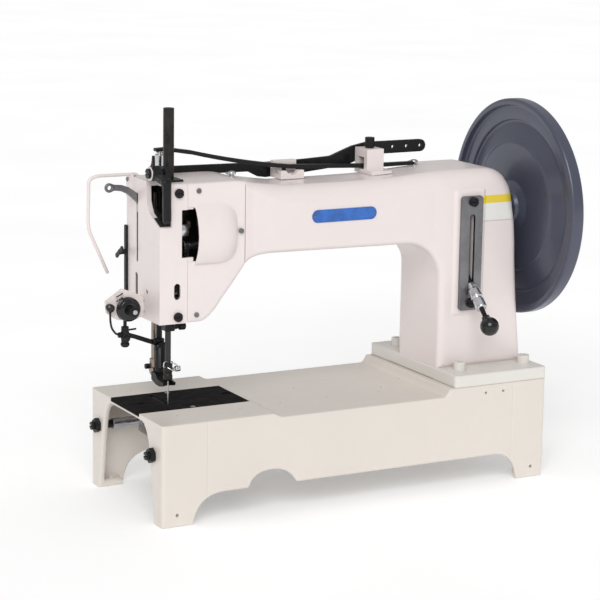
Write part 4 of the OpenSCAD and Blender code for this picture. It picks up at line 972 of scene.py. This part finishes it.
def make_needle_fittings():
    forged("thread_clamp", guide_block_field, (BAR_X - 12, NEEDLE_Y - 15, 287),
           (BAR_X + 20, NEEDLE_Y + 13, 310), 0.9, "black")
    thumb = [(0, 14), (5.2, 14), (6.6, 12.8), (6.6, 4), (5.4, 2.8), (3, 2.4), (3, 0), (0, 0)]
    turn("thread_clamp_screw", (BAR_X + 16, NEEDLE_Y, 295), (1, 0, 0), thumb, 0.8, 3, "black", "frame", 36)
    holder = [(4.9, 26), (7.2, 26), (7.6, 25), (7.6, 13), (6.9, 12), (6.9, 8), (7.6, 7), (7.6, 0),
              (6.0, -2), (1.4, -2), (1.4, 0), (4.9, 0), (4.9, 26)]
    turn("needle_holder", (BAR_X, NEEDLE_Y, BAR_FOOT_Z), (0, 0, 1), holder, 0.5, 2, "post", "needle_unit",
         48, ("needle_bar_clamp",))
    collar = [(4.81, -10), (10.6, -10), (11, -9.4), (11, 9.4), (10.6, 10), (4.81, 10), (4.81, -10)]
    turn("needle_bar_collar", (BAR_X, NEEDLE_Y, CLAMP_Z), (0, 0, 1), collar, 0.5, 2, "steel",
         "needle_unit", 48)
    lathe("link_pin", (BAR_X + 9, NEEDLE_Y, CLAMP_Z), (1, 0, 0), [(0, 0), (6, 0), (6, 12.4), (0, 12.4)],
          "steel", "needle_unit", 32)
    screw = [(0, 15), (4.0, 15), (4.8, 14), (4.8, 7), (4, 6), (2.4, 5.6), (2.4, 0), (0, 0)]
    turn("needle_screw", (BAR_X + 6.4, NEEDLE_Y, BAR_FOOT_Z + 16), (1, 0, 0), screw, 0.6, 3, "chrome",
         "needle_unit", 32)
    guides = {"needle_thread_guide": ([(4, -6, 239), (4, -11, 238), (12, -13, 233), (13, -12, 226),
                                       (3, -12, 225), (-5, -9, 231)], 1.1, 3),
              "upper_thread_guide": ([(-4, -6, 240), (-11, -9, 240), (-12, -9, 231), (-5, -6, 230)],
                                     1.0, 2.5)}
    for name, (places, radius, bend) in guides.items():
        tube(name, [(BAR_X + dx, NEEDLE_Y + dy, z) for dx, dy, z in places], radius, "chrome",
             "needle_unit", 12, bend)
    roller = [(0, 15), (12.6, 15), (14, 13.6), (14, 1.4), (12.6, 0), (0, 0)]
    turn("crank_head", (-296.5, -58, 459), (1, 0, 0), roller, 0.6, 3, "chrome", "frame", 64)
    brick("crank_arm", (-281.4, -56, 460), (-271.5, -20, 472), 2.0,
          ((-285, -60, 455), (-268, -10, 477)), 1.0, "steel")
    brick("presser_block", (BAR_X - 4.5, -3, 222), (BAR_X + 4.5, 10, 266), 1.4,
          ((BAR_X - 6, -5, 220), (BAR_X + 6, 12, 268)), 0.9, "black", "presser_unit")
    foot_screw = [(0, 10), (4.6, 10), (5.4, 9), (5.4, 3), (4.2, 2), (2.6, 1.6), (2.6, 0), (0, 0)]
    turn("presser_foot_screw", (BAR_X + 6.5, PRESSER_Y, 243), (1, 0, 0), foot_screw, 0.6, 3, "black",
         "presser_unit", 32)
    small_screw = [(0, 9), (3.8, 9), (4.4, 8.2), (4.4, 2.4), (2.4, 1.4), (2.4, 0), (0, 0)]
    turn("vibrating_foot_screw", (BAR_X - 7, VIBRATING_Y, 220), (-1, 0, 0), small_screw, 0.5, 3, "black",
         "vibrating_unit", 32)


def make_guard_wire():
    y = 30
    tube("guard_wire_piece", [(-325, y, 522), (-325, y, 538), (-396, y, 538.5), (-410, y, 533),
                              (-411.5, y, 455), (-378, y, 381)], 2.75, "arm", "frame", 20, 13,
         ("guard_wire",))


def oil_cap(number, place_at):
    """Oil hole with a round flip lid hinged at its left."""
    x, y, z = place_at
    neck = [(0, 8), (4.2, 8), (4.2, 2.4), (6.8, 1.8), (7, 0), (0, 0)]
    turn(f"oil_cap_{number}_neck", place_at, (0, 0, 1), neck, 0.5, 2, "chrome", "frame", 32)
    lid = [(0, 12), (3.6, 11.8), (6.4, 10.6), (7, 9.4), (7, 7.2), (6.2, 6.6), (0, 6.6)]
    turn(f"oil_cap_{number}_lid", place_at, (0, 0, 1), lid, 0.6, 3, "chrome", "frame", 40)
    hinge = [(0, 8), (1.5, 8), (1.8, 7.4), (1.8, 0.6), (1.5, 0), (0, 0)]
    turn(f"oil_cap_{number}_hinge", (x - 7.6, y - 4, z + 8.6), (0, 1, 0), hinge, 0.3, 2, "chrome",
         "frame", 20)


def pull_back(grown, depth=None, by=0.0):
    """Moves the new vertices of an extrusion to a depth, or by an amount, in millimetres."""
    for v in grown["geom"]:
        if isinstance(v, bmesh.types.BMVert):
            v.co.y = v.co.y + by * MM if depth is None else depth * MM


def make_badge():
    """The blank badge with its two small pins."""
    left, right, low, high = BADGE
    radius = (high - low) / 2
    middle = (high + low) / 2
    outline = arc(left + radius, middle, radius, 90, 270, 16)
    outline += arc(right - radius, middle, radius, -90, 90, 16)
    bm = bmesh.new()
    face = bm.faces.new([bm.verts.new((px * MM, (ARM_FRONT + 0.5) * MM, pz * MM)) for px, pz in outline])
    pull_back(bmesh.ops.extrude_face_region(bm, geom=[face]), ARM_FRONT - 1.3)
    soften(place("badge_plate", to_mesh("badge", bm), "badge", "frame", ("fittings",)), 0.5)
    pin = [(0, 1.1), (1.1, 0.9), (1.6, 0.2), (1.6, -0.4), (0, -0.4)]
    for i, px in enumerate((left + 5, right - 5)):
        turn(f"badge_pin_{i + 1}", (px, ARM_FRONT - 1.3, middle), (0, -1, 0), pin, 0.3, 2, "grey",
             "frame", 20)


def make_label():
    """A blank label that lies on the front of the column and follows its rounded edge."""
    columns, rows, thick = 30, 16, 0.5
    xs, zs = (np.linspace(*ends, count + 1) for ends, count in zip(LABEL, (columns, rows)))
    depths = np.linspace(FRONT_Y - 3, FRONT_Y + 14, 341)
    field = arm_field(xs[:, None, None], depths[None, :, None], zs[None, None, :])
    front = depths[np.argmax(field < 0, axis=1)]
    bm = bmesh.new()
    grid = [[bm.verts.new((x * MM, (front[i, j] - thick) * MM, z * MM)) for j, z in enumerate(zs)]
            for i, x in enumerate(xs)]
    for i in range(columns):
        for j in range(rows):
            bm.faces.new((grid[i][j], grid[i + 1][j], grid[i + 1][j + 1], grid[i][j + 1]))
    rim = [e for e in bm.edges if len(e.link_faces) == 1]
    pull_back(bmesh.ops.extrude_edge_only(bm, edges=rim), by=2 * thick)
    place("blank_label", to_mesh("label", bm), "label")


def make_fittings():
    for i, seat in enumerate(CAP_SEATS):
        oil_cap(i + 1, seat)
    make_badge()
    make_label()


# ---- camera, light and floor ----

def make_camera():
    azimuth, elevation, roll = (radians(a) for a in CAMERA_ANGLES)
    back = Vector((sin(azimuth) * cos(elevation), -cos(azimuth) * cos(elevation),
                   sin(elevation)))
    right = (-back).cross(Vector((0, 0, 1))).normalized()
    up = right.cross(-back)
    tilted_right = right * cos(roll) + up * sin(roll)
    tilted_up = up * cos(roll) - right * sin(roll)
    data = bpy.data.cameras.new("camera")
    data.lens = CAMERA_LENS
    data.sensor_width = 36
    data.clip_end = 150
    camera = put("camera", data)
    facing = Matrix((tilted_right, tilted_up, back)).transposed().to_4x4()
    camera.matrix_world = Matrix.Translation(CAMERA_AT) @ facing
    scene.camera = camera


def make_sun():
    """One large soft light from the operator's left, low enough to fill the front faces."""
    data = bpy.data.lights.new("key", "SUN")
    data.energy = SUN_STRENGTH
    data.angle = radians(38)
    lamp = put("key", data)
    lamp.rotation_euler = Vector((0.415, 0.698, -0.585)).to_track_quat("-Z", "Y").to_euler()


def make_world():
    """Even studio light, a little brighter overhead than at the horizon."""
    world = bpy.data.worlds.new("studio")
    scene.world = world
    world.use_nodes = True
    tree = world.node_tree
    coords = tree.nodes.new("ShaderNodeTexCoord").outputs["Generated"]
    height = add_node(tree, "ShaderNodeSeparateXYZ", {"Vector": coords}).outputs["Z"]
    level = add_node(tree, "ShaderNodeMapRange", {"Value": height, "From Min": -0.1, "From Max": 0.8,
                                                  "To Min": SKY_LOW, "To Max": SKY_HIGH})
    tree.links.new(level.outputs["Result"], tree.nodes["Background"].inputs["Strength"])
    tree.nodes["Background"].inputs["Color"].default_value = (1, 1, 1, 1)


def make_studio():
    make_world()
    make_sun()
    bm = bmesh.new()
    bmesh.ops.create_grid(bm, x_segments=8, y_segments=8, size=60)
    mesh = bpy.data.meshes.new("floor")
    bm.to_mesh(mesh)
    bm.free()
    mesh.materials.append(floor_material())
    floor = put("floor", mesh)
    floor.location.z = -0.0005
    scene.view_settings.view_transform = "Standard"
    scene.view_settings.look = "None"


make_camera()
make_studio()
make_bed()
make_arm()
make_flange()
make_covers()
make_wheel()
make_plain()
make_stitch_lever()
make_levers()
make_tension()
make_needle_fittings()
make_guard_wire()
make_fittings()
